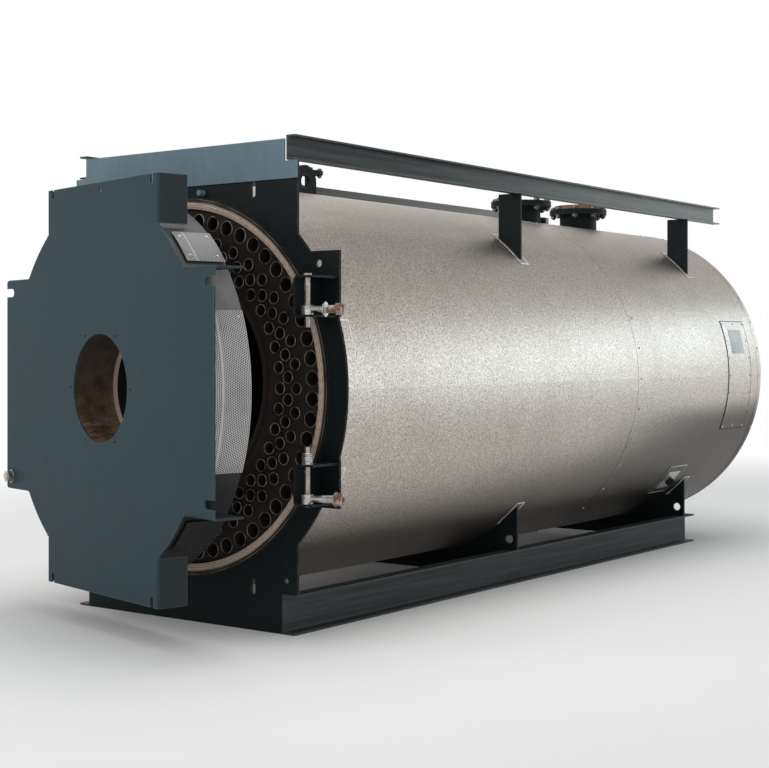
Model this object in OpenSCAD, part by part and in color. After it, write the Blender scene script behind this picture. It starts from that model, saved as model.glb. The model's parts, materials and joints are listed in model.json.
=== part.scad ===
// Fire-tube hot-water boiler on a channel base, with its insulated front door ajar.
// +X is to the right seen from the front, +Y runs to the rear, +Z is up.
// The origin is on the floor, at the middle of the front plate's foot.

/* [Vessel] */
// Room under the jacket's belly
belly_gap = 113; // [100:1:140]
// Outer radius of the pressure vessel's shell
vessel_r = 792; // [785:1:800]
// Wall of the pressure vessel's shell
vessel_t = 14; // [10:1:16]
// Rear end of the pressure vessel
vessel_len = 3760; // [3000:10:3900]
// Distance from the flow nozzle forward to the weld between the shell's two courses
course_ahead = 450; // [300:10:900]
// How far the shell's lip stands proud of the front plate
shell_lip = 8; // [4:1:10]
// Thickness of the tube sheets
sheet_t = 20; // [16:1:24]
// Front face of the front tube sheet, behind the front plate's middle
sheet_y = 15; // [12:1:25]

/* [Jacket] */
// Depth of the insulation, from the shell's outside to the jacket's
insulation = 80; // [60:1:84]
// Sheet thickness of the jacket
jacket_t = 3; // [2:0.5:4]
// Depth of the smoke chamber behind the vessel
rear_chamber = 330; // [250:5:400]
// Distance from the flow nozzle forward to the jacket's seam
seam_ahead = 239; // [180:1:400]
// Width of the cleaning hatch along the jacket
hatch_w = 310; // [250:5:330]
// Half angle that the cleaning hatch covers
hatch_angle = 21; // [12:1:24]
// Distance of the cleaning hatch's middle from the jacket's rear
hatch_in = 310; // [290:5:330]

/* [Tubes] */
// Distance of the row of large tubes from the shell's outside
outer_row_in = 94; // [90:1:100]
// Number of large tubes
outer_count = 54; // [36:2:56]
// Outside diameter of a large tube
outer_tube_d = 63; // [55:1:66]
// Step from the row of large tubes in to the outermost row of small ones
row_gap = 77; // [70:1:84]
// Step from one row of small tubes to the next
inner_row_step = 43; // [41:1:44]
// Number of small tubes in one row
inner_count = 40; // [30:2:40]
// Outside diameter of a small tube
inner_tube_d = 51; // [44:1:52]
// Wall of a fire tube
tube_wall = 3.5; // [2.5:0.5:5]
// How far the small tubes stand proud of the sheet
inner_tube_proud = 8; // [4:1:10]
// Step from the innermost row of small tubes to the furnace's wall
furnace_gap = 70; // [64:1:90]
// Wall of the furnace tube
furnace_t = 20; // [14:1:22]
// Height of the furnace's axis above the boiler's axis
furnace_up = 22; // [10:1:22]
// Distance of the furnace's rear end from the vessel's
furnace_short = 460; // [200:10:900]

/* [Front plate] */
// Thickness of the front plate
plate_t = 10; // [8:1:16]
// How far the front plate stands out past the top rails
plate_past_rail = 13; // [5:1:25]
// Gap between the front plate and the top rails
plate_clear = 8; // [2:1:20]
// How far the plate's rounded flanks stand proud of the jacket
flank_proud = 16; // [8:1:24]
// How far the lugs' ends lie inside the flanks
lug_in = 38; // [25:1:42]
// Height of the upper lugs
upper_lug_h = 262; // [240:1:280]
// Foot of the upper lugs above the feet of the upper brackets
upper_lug_up = 1; // [-20:1:1]
// Height of the lower lugs
lower_lug_h = 194; // [185:1:210]
// Foot of the lower lugs below the feet of the lower brackets
lower_lug_drop = 19; // [16:1:30]
// Diameter of the hole in each upper lug
lug_hole_d = 30; // [20:1:36]
// Distance of the door-clamp slots from the sides of the door's tall arm
slot_in = 50; // [44:1:70]
// Distance of the door-clamp slots past the shell
slot_out = 16; // [14:1:30]
// Length of the door-clamp slots in the front plate
slot_len = 66; // [30:1:70]
// Width of the door-clamp slots
slot_w = 22; // [14:1:26]
// Height of the header
header_h = 160; // [140:1:165]
// Distance of the header's top below the top rails'
header_drop = 15; // [5:1:30]
// Sheet thickness of the header
header_t = 8; // [5:1:10]
// Diameter of the door stop pegs
peg_d = 24; // [16:1:30]
// Length of the door stop pegs
peg_len = 30; // [15:1:40]

/* [Base frame] */
// Height of the base rails
base_h = 160; // [140:1:180]
// Flange width of the base rails
base_flange = 64; // [50:1:70]
// Web thickness of the base rails
base_web = 7; // [5:0.5:9]
// Flange thickness of the base rails
base_flange_t = 9; // [6:0.5:12]
// Distance of the base rails' backs in from the jacket's flank
base_in = 313.5; // [300:0.5:330]
// How far the base rails run past the rear saddle
base_past = 135; // [80:5:200]
// Plate thickness of the saddles
saddle_t = 12; // [8:1:20]
// Place of the middle saddle and posts
mid_frame_y = 1690; // [1500:10:1900]
// Distance of the rear saddle and posts from the jacket's rear
rear_frame_in = 535; // [510:5:640]
// Diameter of the saddles' lashing holes
saddle_hole_d = 45; // [30:1:50]

/* [Top rails] */
// Gap between the jacket's crown and the top rails
rail_gap = 43; // [38:1:60]
// Height of the top rails
top_rail_h = 100; // [90:1:103]
// Flange width of the top rails
top_flange = 46; // [36:1:50]
// Web thickness of the top rails
top_web = 5; // [4:0.5:7]
// Flange thickness of the top rails
top_flange_t = 7.5; // [5:0.5:10]
// Distance of the top rails' backs in from the jacket's flank
top_in = 293; // [285:1:300]
// Distance of the top rails' rear ends from the jacket's
top_short = 45; // [10:5:200]
// Width of the posts under the top rails
post_w = 127; // [110:1:135]
// Plate thickness of the posts
post_t = 10; // [8:1:16]

/* [Door] */
// Door opening angle in the photographed pose
door_open = 14.2; // [5:0.1:60]
// Distance of the closed door's face from the front plate's middle
door_gap = 232; // [230:1:238]
// Sheet thickness of the door
door_t = 8; // [6:1:10]
// Distance of the door's round edge in from the shell's outside
door_in = 14; // [8:1:20]
// How far the door's arms stand out past the shell
door_rise = 37; // [30:1:44]
// Half width of the door's tall arm
door_arm_half_w = 454; // [445:1:462]
// How far the ears stand out past the pins
ear_past_pin = 49; // [42:1:55]
// Clearance of the ears' folds from the lower pins' ends
ear_clear = 5; // [4:1:9]
// Depth of the folded edges
fold_depth = 130; // [100:1:135]
// Inside radius of the folds
fold_r = 6; // [3:1:10]
// Radius of the burner opening
burner_r = 220; // [180:1:226]
// Pitch radius of the burner's bolts
burner_bolt_r = 243.5; // [240:0.5:260]
// Diameter of the burner's bolt holes
burner_bolt_d = 12; // [8:1:16]
// Clearance of the insulation drum inside the shell
drum_in = 10; // [9:1:18]
// Wall of the insulation drum
drum_t = 5; // [3:1:8]
// Distance of the closed drum from the front plate's middle
drum_clear = 22; // [21:1:42]
// Height of the perforated guards over the drum
guard_out = 10; // [9:1:11]
// Sheet thickness of the perforated guards
guard_t = 2; // [1.5:0.5:3]
// Front edge of the guards behind the door's face
guard_front = 36; // [30:1:50]

/* [Clamps] */
// Distance of the hinge pins in from the shell's outside
pin_in = 2; // [0:1:4]
// Distance of the hinge pins behind the closed door's face
pin_behind = 102; // [99:1:104]
// Diameter of the hinge pins
pin_d = 24; // [20:1:26]
// Width of a clamp bracket
bracket_w = 100; // [96:1:102]
// Thickness of a clamp bracket
bracket_t = 8; // [6:1:10]
// How far a bracket's front passes the pin
bracket_nose = 22; // [20:1:23]
// Height of a clamp bracket
bracket_h = 160; // [156:1:162]
// Foot of the upper brackets below the upper notches
upper_bracket_drop = 123; // [121:1:125]
// Foot of the lower brackets below the boiler's axis
lower_bracket_z = 446; // [444:1:448]
// Height of the lower notches above the feet of the lower brackets
notch_up = 41; // [38:1:48]
// Height of the door's bolt notches
notch_h = 36; // [35:1:40]
// Diameter of the swing bolts
bolt_d = 29; // [24:1:30]
// Length of a swing bolt from its pin
bolt_len = 146; // [144:1:152]
// Outside diameter of a swing bolt's eye
eye_d = 50; // [44:1:54]
// Height of a swing bolt's eye
eye_h = 32; // [26:1:34]
// Angle from a bolt's closed place to its photographed place
bolt_swing = 107; // [90:1:115]
// Height of the washer stacks on the lower pins
stack_h = 46; // [30:1:50]

/* [Fittings] */
// Outside diameter of the large nozzles
nozzle_d = 219; // [168:1:219]
// Wall of the large nozzles
nozzle_t = 8; // [5:1:12]
// Flange diameter of the large nozzles
flange_d = 340; // [330:5:350]
// Thickness of one flange
flange_t = 30; // [20:1:34]
// Foot of the large nozzles' flanges above the jacket's crown
flange_up = 85; // [50:1:88]
// Pitch diameter of the flange bolts
flange_pcd = 295; // [285:1:300]
// Diameter of the flange bolt holes
flange_hole_d = 22; // [14:1:24]
// Distance between the flow and return nozzles
nozzle_pitch = 658; // [620:1:700]
// Distance of the return nozzle from the vessel's rear end
return_in = 357; // [310:1:400]
// Place of the safety-valve nozzle along the boiler
safety_y = 1034; // [1000:1:1080]
// Place of the safety-valve nozzle to the left of the middle
safety_x = 150; // [100:1:160]
// Outside diameter of the safety-valve nozzle
safety_d = 48; // [40:1:54]
// Wall of the safety-valve nozzle
safety_t = 4; // [3:0.5:6]
// Flange diameter of the safety-valve nozzle
safety_flange_d = 130; // [125:1:145]
// Thickness of the safety-valve flange
safety_flange_t = 18; // [14:1:22]
// Pitch diameter of the safety-valve flange's bolts
safety_pcd = 96; // [92:1:100]
// Diameter of the safety-valve flange's bolt holes
safety_hole_d = 14; // [12:1:16]
// Place of the lifting lug along the boiler
lug_y = 808; // [780:1:830]
// Radius of the lifting lug's head
lug_r = 78; // [70:1:80]
// Diameter of the lifting lug's eye
lug_eye_d = 64; // [40:1:70]
// Thickness of the lifting lug
lug_t = 24; // [16:1:30]
// Radius of the flue outlet
flue_r = 200; // [150:1:220]
// Length of the flue outlet behind the jacket
flue_len = 160; // [100:5:220]

/* [Hidden] */
SIDES = ["left", "right"];
$fn = 96;

paint = [0.11, 0.14, 0.15];
door_paint = [0.19, 0.26, 0.28];
zinc = [0.74, 0.74, 0.73];
sooty = [0.10, 0.08, 0.07];
rope = [0.73, 0.66, 0.60];
bright = [0.72, 0.71, 0.68];
ceramic = [0.42, 0.33, 0.27];

// Clearance between round faces that seat on each other
seat = 0.3;
// Overlap that makes a cut pass clean through
cut = 1;
washer_t = 5;
washer_d = 58;
nut_af = 46;
nut_h = 24;

// Vessel and tubes
vessel_in_r = vessel_r - vessel_t;
outer_row_r = vessel_r - outer_row_in;
inner_rows = 3;
inner_row_r = outer_row_r - row_gap - (inner_rows - 1) * inner_row_step;
furnace_r = inner_row_r - furnace_gap;
furnace_len = vessel_len - furnace_short;

// Jacket
jacket_r = vessel_r + insulation;
jacket_len = vessel_len + rear_chamber;
axis_h = jacket_r + belly_gap;
return_y = vessel_len - return_in;
flow_y = return_y - nozzle_pitch;
flange_z = axis_h + jacket_r + flange_up;
jacket_seam_y = flow_y - seam_ahead;
course_y = flow_y - course_ahead;
hatch_y = jacket_len - hatch_in;

// Frame
base_half_x = jacket_r - base_in;
rear_frame_y = jacket_len - rear_frame_in;
base_len = rear_frame_y + base_past;
top_half_x = jacket_r - top_in;
top_len = jacket_len - top_short + plate_t / 2;
rail_foot_z = axis_h + jacket_r + rail_gap;
top_h = rail_foot_z + top_rail_h;
post_past_rail = 18;
post_out_x = top_half_x + top_flange + post_past_rail;
lashing_in = 46;
lashing_up = 52;

// Front plate
plate_front = -plate_t / 2;
plate_back = plate_t / 2;
shell_front = plate_front - shell_lip;
plate_half_w = top_half_x + top_flange + plate_past_rail;
plate_top = rail_foot_z - plate_clear;
plate_flank_r = jacket_r + flank_proud;
lug_half_w = plate_flank_r - lug_in;
slot_z = vessel_r + slot_out;
header_z = top_h - header_drop - header_h;
gasket_w = 31;
gasket_front = -16;
gasket_back = -2;
gasket_in_r = vessel_in_r - seat - gasket_w;

// Clamps
pin_x = vessel_r - pin_in;
pin_y = door_gap - pin_behind;
upper_pin_tail = 40;
lower_pin_tail = 3;
pin_head = 8;
bracket_past_pin = 48;
bracket_in_x = pin_x + bracket_past_pin - bracket_w;
notch_z = lower_bracket_z - notch_up;
upper_bracket_z = notch_z - upper_bracket_drop;
upper_eye_z = upper_bracket_z + bracket_t + washer_t + seat + eye_h / 2;
lower_eye_z = -lower_bracket_z + bracket_t + washer_t + seat + eye_h / 2;
upper_lug_z = upper_bracket_z + upper_lug_up;
lower_lug_z = lower_bracket_z + lower_lug_drop;
lug_plate_t = 14;
lug_plate_clear = 4;
upper_lug_top = upper_bracket_z - lug_plate_clear;
lower_stack_z = -lower_bracket_z + bracket_h;
washer_seat = 0.2;
thread_proud = 3;
// How far a swing bolt's end lies inside its nut
bolt_short = 5;
upper_washer_at = 72;

// Door
door_r = vessel_r - door_in;
door_half_h = vessel_r + door_rise;
door_ear_half_w = pin_x + ear_past_pin;
door_ear_half_h = lower_bracket_z + lower_pin_tail + ear_clear + door_t;
slot_half_x = door_arm_half_w - slot_in;
door_slot_len = 84;
door_hole_in = 31;
door_face_y = -door_gap;
door_back_y = door_face_y + door_t;
drum_r = vessel_in_r - drum_in;
drum_depth = door_gap - drum_clear;
guard_r = drum_r + guard_out;
guard_short = 4;
guard_rear = drum_depth - guard_short;
fold_size = door_t + fold_r;
fold_relief = 6;
ear_relief = 8;
wing_foot = sqrt(pow(door_r, 2) - pow(door_arm_half_w, 2)) + fold_relief;
ear_fold_x = sqrt(pow(door_r, 2) - pow(door_ear_half_h, 2)) + ear_relief;
notch_depth = door_ear_half_w - pin_x + notch_h / 2;
hinge_washer_at = door_gap - pin_y + washer_seat;
hinge_nut_end = hinge_washer_at + washer_t + nut_h;

// Extrudes a drawing of X and Z along Y, from y to y + t
module slab_y(y, t) {
  translate([0, y + t, 0]) rotate([90, 0, 0]) linear_extrude(t) children();
}

// Turns a solid that stands on its Z axis so that it lies along Y on the boiler's axis
module lie_on_axis(y, up = 0) {
  translate([0, y, axis_h + up]) rotate([-90, 0, 0]) children();
}

// A tube along the boiler's axis
module axis_tube(r_out, r_in, y, len, up = 0) {
  lie_on_axis(y, up) difference() {
    cylinder(r = r_out, h = len, $fn = 180);
    translate([0, 0, -cut]) cylinder(r = r_in, h = len + 2 * cut, $fn = 180);
  }
}

// A rolled channel along Y, its back at x and its flanges towards +X
module channel(x, z, h, flange, web, flange_t, y, len) {
  slab_y(y, len) translate([x, z]) {
    difference() {
      square([flange, h]);
      translate([web, flange_t]) square([flange, h - 2 * flange_t]);
    }
    for (side = [0, 1]) translate([web, flange_t + side * (h - 2 * flange_t)]) mirror([0, side])
      root_fillet(flange_t / 2);
  }
}

// The rounded inner corner of a rolled channel
module root_fillet(r) {
  difference() {
    square(r);
    translate([r, r]) circle(r, $fn = 32);
  }
}

// Children on the right side, or mirrored to the left
module on_side(side) {
  if (side == "left") mirror([1, 0, 0]) children();
  else children();
}

module base_rail(side) {
  color(paint) on_side(side)
    channel(base_half_x, 0, base_h, base_flange, base_web, base_flange_t, plate_front, base_len);
}

module top_rail(side) {
  color(paint) on_side(side)
    channel(top_half_x, rail_foot_z, top_rail_h, top_flange, top_web, top_flange_t, plate_front, top_len);
}

// A cross plate between the base rails, hollowed to the jacket
module saddle(y) {
  foot = 30;
  wing_x = base_half_x + base_flange;
  color(paint) slab_y(y - saddle_t / 2, saddle_t) difference() {
    union() {
      translate([-base_half_x, foot]) square([2 * base_half_x, axis_h - foot]);
      translate([-wing_x, base_h]) square([2 * wing_x, axis_h - base_h]);
    }
    translate([0, axis_h]) circle(jacket_r + seat, $fn = 180);
    translate([-wing_x - cut, axis_h - sqrt(pow(jacket_r, 2) - pow(wing_x, 2))])
      square([2 * wing_x + 2 * cut, axis_h]);
    for (s = [-1, 1]) translate([s * (wing_x - lashing_in), base_h + lashing_up]) circle(d = saddle_hole_d);
  }
}

// A plate from the jacket up to a top rail
module post(side, y) {
  color(paint) on_side(side) slab_y(y - post_t / 2, post_t) difference() {
    translate([post_out_x - post_w, axis_h]) square([post_w, rail_foot_z - axis_h]);
    translate([0, axis_h]) circle(jacket_r + seat, $fn = 180);
    square([post_out_x + cut, axis_h + sqrt(pow(jacket_r, 2) - pow(post_out_x, 2))]);
  }
}

// A round-ended upright slot
module upright_slot(len, w) {
  for (s = [-1, 1]) translate([0, s * (len - w) / 2]) circle(d = w);
  translate([-w / 2, -(len - w) / 2]) square([w, len - w]);
}

module front_plate_outline() {
  lug_hole_in = 104;
  lug_hole_drop = 50;
  foot_hole_in = 59;
  foot_hole_up = 55;
  difference() {
    union() {
      translate([-base_half_x, 0]) square([2 * base_half_x, base_h + cut]);
      translate([-plate_half_w, base_h]) square([2 * plate_half_w, plate_top - base_h]);
      translate([0, axis_h]) circle(plate_flank_r, $fn = 180);
      translate([-lug_half_w, axis_h + upper_lug_z]) square([2 * lug_half_w, upper_lug_h]);
      translate([-lug_half_w, axis_h - lower_lug_z]) square([2 * lug_half_w, lower_lug_h]);
    }
    translate([0, axis_h]) circle(vessel_r + seat, $fn = 180);
    for (s = [-1, 1]) {
      for (z = [-slot_z, slot_z]) translate([s * slot_half_x, axis_h + z]) upright_slot(slot_len, slot_w);
      translate([s * (lug_half_w - lug_hole_in), axis_h + upper_lug_z + upper_lug_h - lug_hole_drop])
        circle(d = lug_hole_d);
      translate([s * (plate_half_w - foot_hole_in), base_h + foot_hole_up]) circle(d = slot_w);
    }
  }
}

// The front plate, with a shallow groove round the shell's lip
module front_plate() {
  groove_w = 5;
  color(paint) difference() {
    slab_y(plate_front, plate_t) front_plate_outline();
    lie_on_axis(plate_front - cut) cylinder(r = vessel_r + groove_w, h = plate_t / 2 + cut, $fn = 180);
  }
}

// The cross sheet over the front plate, notched for the top rails
module front_header() {
  notch_gap = 4;
  color(door_paint) slab_y(plate_front - header_t, header_t) difference() {
    translate([-plate_half_w, header_z]) square([2 * plate_half_w, header_h]);
    for (s = [0, 1]) mirror([s, 0]) translate([top_half_x - notch_gap, rail_foot_z - notch_gap])
      square([plate_half_w, header_h]);
  }
}

module stop_pegs() {
  peg_x = 128;
  color(zinc) for (s = [-1, 1]) translate([s * peg_x, plate_front - peg_len, axis_h + slot_z])
    rotate([-90, 0, 0]) cylinder(d = peg_d, h = peg_len);
}

// One rolled course of the shell, pierced for the nozzles
module shell_course(y, len) {
  color(sooty) difference() {
    axis_tube(vessel_r, vessel_in_r, y, len);
    for (at = [flow_y, return_y]) translate([0, at, axis_h])
      cylinder(d = nozzle_d - 2 * nozzle_t, h = jacket_r);
    translate([-safety_x, safety_y, axis_h]) cylinder(d = safety_d - 2 * safety_t, h = jacket_r);
  }
}

// The places of the large tubes
function outer_place(i) =
  let (a = (i + 0.5) * 360 / outer_count) [outer_row_r * cos(a), outer_row_r * sin(a)];
// The places of the small tubes, in three staggered rows
function inner_place(row, i) =
  let (a = (i + (row % 2) / 2) * 360 / inner_count, r = inner_row_r + row * inner_row_step)
  [r * cos(a), r * sin(a)];

// Children at every large tube
module at_outer_tubes() {
  for (i = [0 : outer_count - 1]) translate(outer_place(i)) children();
}

// Children at every small tube
module at_inner_tubes() {
  for (row = [0 : inner_rows - 1], i = [0 : inner_count - 1]) translate(inner_place(row, i)) children();
}

// A round sheet drilled for the tubes, with or without the furnace hole
module drilled_sheet(y, furnace_hole) {
  color(sooty) slab_y(y, sheet_t) translate([0, axis_h]) difference() {
    circle(vessel_in_r - seat, $fn = 180);
    at_outer_tubes() circle(d = outer_tube_d + 2 * seat, $fn = 32);
    at_inner_tubes() circle(d = inner_tube_d + 2 * seat, $fn = 32);
    if (furnace_hole) translate([0, furnace_up]) circle(furnace_r + seat, $fn = 180);
  }
}

// A ring that is drawn out to a fire tube
module tube_ring(d) {
  difference() {
    circle(d = d, $fn = 32);
    circle(d = d - 2 * tube_wall, $fn = 32);
  }
}

module outer_tubes() {
  color(sooty) slab_y(sheet_y, vessel_len - sheet_y) translate([0, axis_h])
    at_outer_tubes() tube_ring(outer_tube_d);
}

module inner_tubes() {
  front = sheet_y - inner_tube_proud;
  color(sooty) slab_y(front, vessel_len - front) translate([0, axis_h])
    at_inner_tubes() tube_ring(inner_tube_d);
}

// The furnace, closed at its rear end
module furnace_tube() {
  front = sheet_y - inner_tube_proud;
  color(sooty) lie_on_axis(front, furnace_up) difference() {
    cylinder(r = furnace_r, h = furnace_len - front, $fn = 180);
    translate([0, 0, -cut])
      cylinder(r = furnace_r - furnace_t, h = furnace_len - front - furnace_t + cut, $fn = 180);
  }
}

module gasket_seat() {
  color(sooty) axis_tube(vessel_in_r - seat, gasket_in_r, gasket_back, sheet_y - gasket_back);
}

// The rope seal, flat at its back and rounded in front
module gasket_rope() {
  corner = 6;
  depth = gasket_back - gasket_front;
  color(rope) lie_on_axis(gasket_front) rotate_extrude($fn = 180) translate([gasket_in_r, 0]) {
    translate([0, corner]) square([gasket_w, depth - corner]);
    translate([corner, 0]) square([gasket_w - 2 * corner, depth]);
    for (x = [corner, gasket_w - corner]) translate([x, corner]) circle(corner, $fn = 32);
  }
}

// One jacket sheet, pierced for what stands on the vessel
module jacket_sheet(y, len) {
  color(zinc) difference() {
    axis_tube(jacket_r, jacket_r - jacket_t, y, len);
    for (at = [flow_y, return_y]) translate([0, at, axis_h])
      cylinder(d = nozzle_d + 2 * seat, h = jacket_r + cut);
    translate([-safety_x, safety_y, axis_h]) cylinder(d = safety_d + 2 * seat, h = jacket_r + cut);
    translate([0, lug_y, axis_h + jacket_r])
      cube([lug_t + 2 * seat, 2 * (lug_r + seat), insulation], center = true);
  }
}

module jacket_end() {
  color(zinc) slab_y(jacket_len - jacket_t, jacket_t) translate([0, axis_h]) difference() {
    circle(jacket_r - jacket_t - seat, $fn = 180);
    circle(flue_r + seat);
  }
}

// A curved cover sheet on the right flank
module cleaning_hatch() {
  sheet = 2;
  color(zinc) translate([0, hatch_y + hatch_w / 2, axis_h]) rotate([90, 0, 0])
    rotate([0, 0, -hatch_angle]) rotate_extrude(angle = 2 * hatch_angle, $fn = 180)
    translate([jacket_r + seat, 0]) square([sheet, hatch_w]);
}

// The flue's flanged collar behind the vessel
module flue_outlet() {
  wall = 6;
  collar_t = 12;
  collar_w = 40;
  collar_hole_d = 14;
  collar_holes = 8;
  color(paint) difference() {
    union() {
      lie_on_axis(vessel_len) cylinder(r = flue_r, h = jacket_len + flue_len - vessel_len);
      lie_on_axis(jacket_len + flue_len - collar_t) cylinder(r = flue_r + collar_w, h = collar_t);
    }
    lie_on_axis(vessel_len - cut)
      cylinder(r = flue_r - wall, h = jacket_len + flue_len - vessel_len + 2 * cut);
    for (i = [0 : collar_holes - 1]) lie_on_axis(jacket_len) rotate([0, 0, (i + 0.5) * 360 / collar_holes])
      translate([flue_r + collar_w / 2, 0, 0]) cylinder(d = collar_hole_d, h = flue_len + cut);
  }
}

module lifting_lug() {
  top_clear = 2;
  eye_z = top_h - top_clear - lug_r;
  color(paint) translate([-lug_t / 2, lug_y, 0]) rotate([90, 0, 90]) linear_extrude(lug_t) difference() {
    union() {
      translate([0, eye_z]) circle(lug_r);
      translate([-lug_r, axis_h + vessel_r + seat]) square([2 * lug_r, eye_z - axis_h - vessel_r]);
    }
    translate([0, eye_z]) circle(d = lug_eye_d);
  }
}

// A flanged pipe on the vessel's crown
module nozzle(x, y, d, t, flange_w, flange_foot, thick, pcd, hole_d, holes) {
  color(paint) translate([x, y, 0]) difference() {
    union() {
      translate([0, 0, axis_h]) cylinder(d = d, h = flange_foot - axis_h);
      translate([0, 0, flange_foot]) cylinder(d = flange_w, h = thick);
    }
    translate([0, 0, axis_h - cut]) cylinder(d = d - 2 * t, h = flange_foot + thick);
    rotate([90, 0, 0]) translate([-x, axis_h, -jacket_r])
      cylinder(r = vessel_r + seat, h = 2 * jacket_r, $fn = 180);
    for (i = [0 : holes - 1]) rotate([0, 0, (i + 0.5) * 360 / holes])
      translate([pcd / 2, 0, flange_foot - cut]) cylinder(d = hole_d, h = thick + 2 * cut);
  }
}

module large_nozzle(y) {
  nozzle(0, y, nozzle_d, nozzle_t, flange_d, flange_z, flange_t, flange_pcd, flange_hole_d, 8);
}

module safety_nozzle() {
  nozzle(-safety_x, safety_y, safety_d, safety_t, safety_flange_d, top_h - safety_flange_t, safety_flange_t,
    safety_pcd, safety_hole_d, 4);
}

// The board that closes the return nozzle for transport
module return_cover() {
  board = 24;
  bolt_room = 60;
  color(ceramic) translate([0, return_y, flange_z + flange_t]) cylinder(d = flange_d - bolt_room, h = board);
}

module sensor_pocket() {
  pocket_d = 34;
  pocket_h = 42;
  ahead = 84;
  color(paint) translate([0, (flow_y + return_y) / 2 - ahead, 0]) difference() {
    translate([0, 0, axis_h]) cylinder(d = pocket_d, h = jacket_r + pocket_h);
    rotate([90, 0, 0]) translate([0, axis_h, -jacket_r])
      cylinder(r = jacket_r + seat, h = 2 * jacket_r, $fn = 180);
    translate([0, 0, axis_h + jacket_r + pocket_h / 2]) cylinder(d = pocket_d / 2, h = pocket_h);
  }
}

// A bracket bent from flat bar, open to the outside, bored for its pin
module bracket(side, foot) {
  depth = pin_y + bracket_nose + plate_front;
  bend = 18;
  color(paint) on_side(side) difference() {
    slab_y(plate_front - depth, depth) translate([bracket_in_x, axis_h + foot]) difference() {
      bar_outline(bracket_w, bracket_h, bend);
      translate([bracket_t, bracket_t]) bar_outline(bracket_w, bracket_h - 2 * bracket_t, bend - bracket_t);
    }
    translate([pin_x, -pin_y, axis_h + foot - cut]) cylinder(d = pin_d + 2 * seat, h = bracket_h + 2 * cut);
  }
}

// A rectangle with its two corners at x = 0 rounded
module bar_outline(w, h, r) {
  translate([r, 0]) square([w - r, h]);
  translate([0, r]) square([w, h - 2 * r]);
  for (y = [r, h - r]) translate([r, y]) circle(r, $fn = 48);
}

module hinge_pins() {
  head_past = 6;
  color(bright) for (s = [-1, 1]) translate([s * pin_x, -pin_y, axis_h]) {
    translate([0, 0, upper_bracket_z - upper_pin_tail])
      cylinder(d = pin_d, h = upper_pin_tail + bracket_h + pin_head);
    translate([0, 0, upper_bracket_z + bracket_h + seat]) cylinder(d = pin_d + 2 * head_past, h = pin_head);
    translate([0, 0, -lower_bracket_z - lower_pin_tail])
      cylinder(d = pin_d, h = lower_pin_tail + bracket_h + stack_h + lug_plate_t + pin_head);
  }
}

// A stack of thrust washers on each lower pin
module pin_washers() {
  count = 4;
  stack_d = 48;
  pitch = stack_h / count;
  groove_r = 1.5;
  color(bright) for (s = [-1, 1]) translate([s * pin_x, -pin_y, axis_h + lower_stack_z])
    rotate_extrude() difference() {
      translate([pin_d / 2 + seat, 0]) square([(stack_d - pin_d) / 2 - seat, stack_h]);
      for (i = [1 : count - 1]) translate([stack_d / 2, i * pitch]) circle(groove_r, $fn = 16);
    }
}

// Children in the closed door's frame, swung open about the left pins
module door_pose() {
  translate([-pin_x, -pin_y, 0]) rotate([0, 0, -door_open]) translate([pin_x, pin_y, 0]) children();
}

module door_outline() {
  difference() {
    union() {
      circle(door_r, $fn = 180);
      square([2 * door_arm_half_w, 2 * door_half_h], center = true);
      square([2 * door_ear_half_w, 2 * door_ear_half_h], center = true);
    }
    circle(burner_r, $fn = 128);
    for (i = [0 : 5]) rotate(i * 60) translate([burner_bolt_r, 0]) circle(d = burner_bolt_d, $fn = 24);
    translate([0, door_half_h - door_hole_in]) circle(d = slot_w);
    for (sx = [0, 1], sz = [0, 1]) mirror([sx, 0]) mirror([0, sz]) {
      translate([slot_half_x, door_half_h]) upright_slot(door_slot_len, slot_w);
      translate([door_ear_half_w, notch_z]) rotate(90) upright_slot(2 * notch_depth, notch_h);
      translate([door_arm_half_w - fold_size, wing_foot]) square([2 * fold_size, door_half_h]);
      translate([ear_fold_x, door_ear_half_h - fold_size]) square([door_ear_half_w, 2 * fold_size]);
    }
  }
}

// The section of a folded edge: the bend and the flange behind it, with its outside at x = 0
module fold_section() {
  intersection() {
    difference() {
      translate([-fold_size, fold_size]) circle(fold_size, $fn = 64);
      translate([-fold_size, fold_size]) circle(fold_r, $fn = 64);
    }
    translate([-fold_size, 0]) square(fold_size);
  }
  translate([-door_t, fold_size]) square([door_t, fold_depth - fold_size]);
}

// The door sheet, cut from one blank with its wings and ears folded back
module door_plate() {
  color(door_paint) door_pose() translate([0, 0, axis_h]) {
    slab_y(door_face_y, door_t) door_outline();
    for (sx = [0, 1], sz = [0, 1]) mirror([sx, 0, 0]) mirror([0, 0, sz]) {
      translate([door_arm_half_w, door_face_y, wing_foot])
        linear_extrude(door_half_h - wing_foot) fold_section();
      translate([ear_fold_x, door_face_y, door_ear_half_h]) rotate([90, 0, 90])
        linear_extrude(door_ear_half_w - ear_fold_x) rotate(90) mirror([0, 1]) fold_section();
    }
  }
}

module door_drum() {
  color(zinc) door_pose() axis_tube(drum_r, drum_r - drum_t, door_back_y, drum_depth - door_t);
}

// The insulation block, bored for the burner
module door_insulation() {
  recess = 5;
  color(ceramic) door_pose()
    axis_tube(drum_r - drum_t - seat, burner_r, door_back_y, drum_depth - door_t - recess);
}

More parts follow.
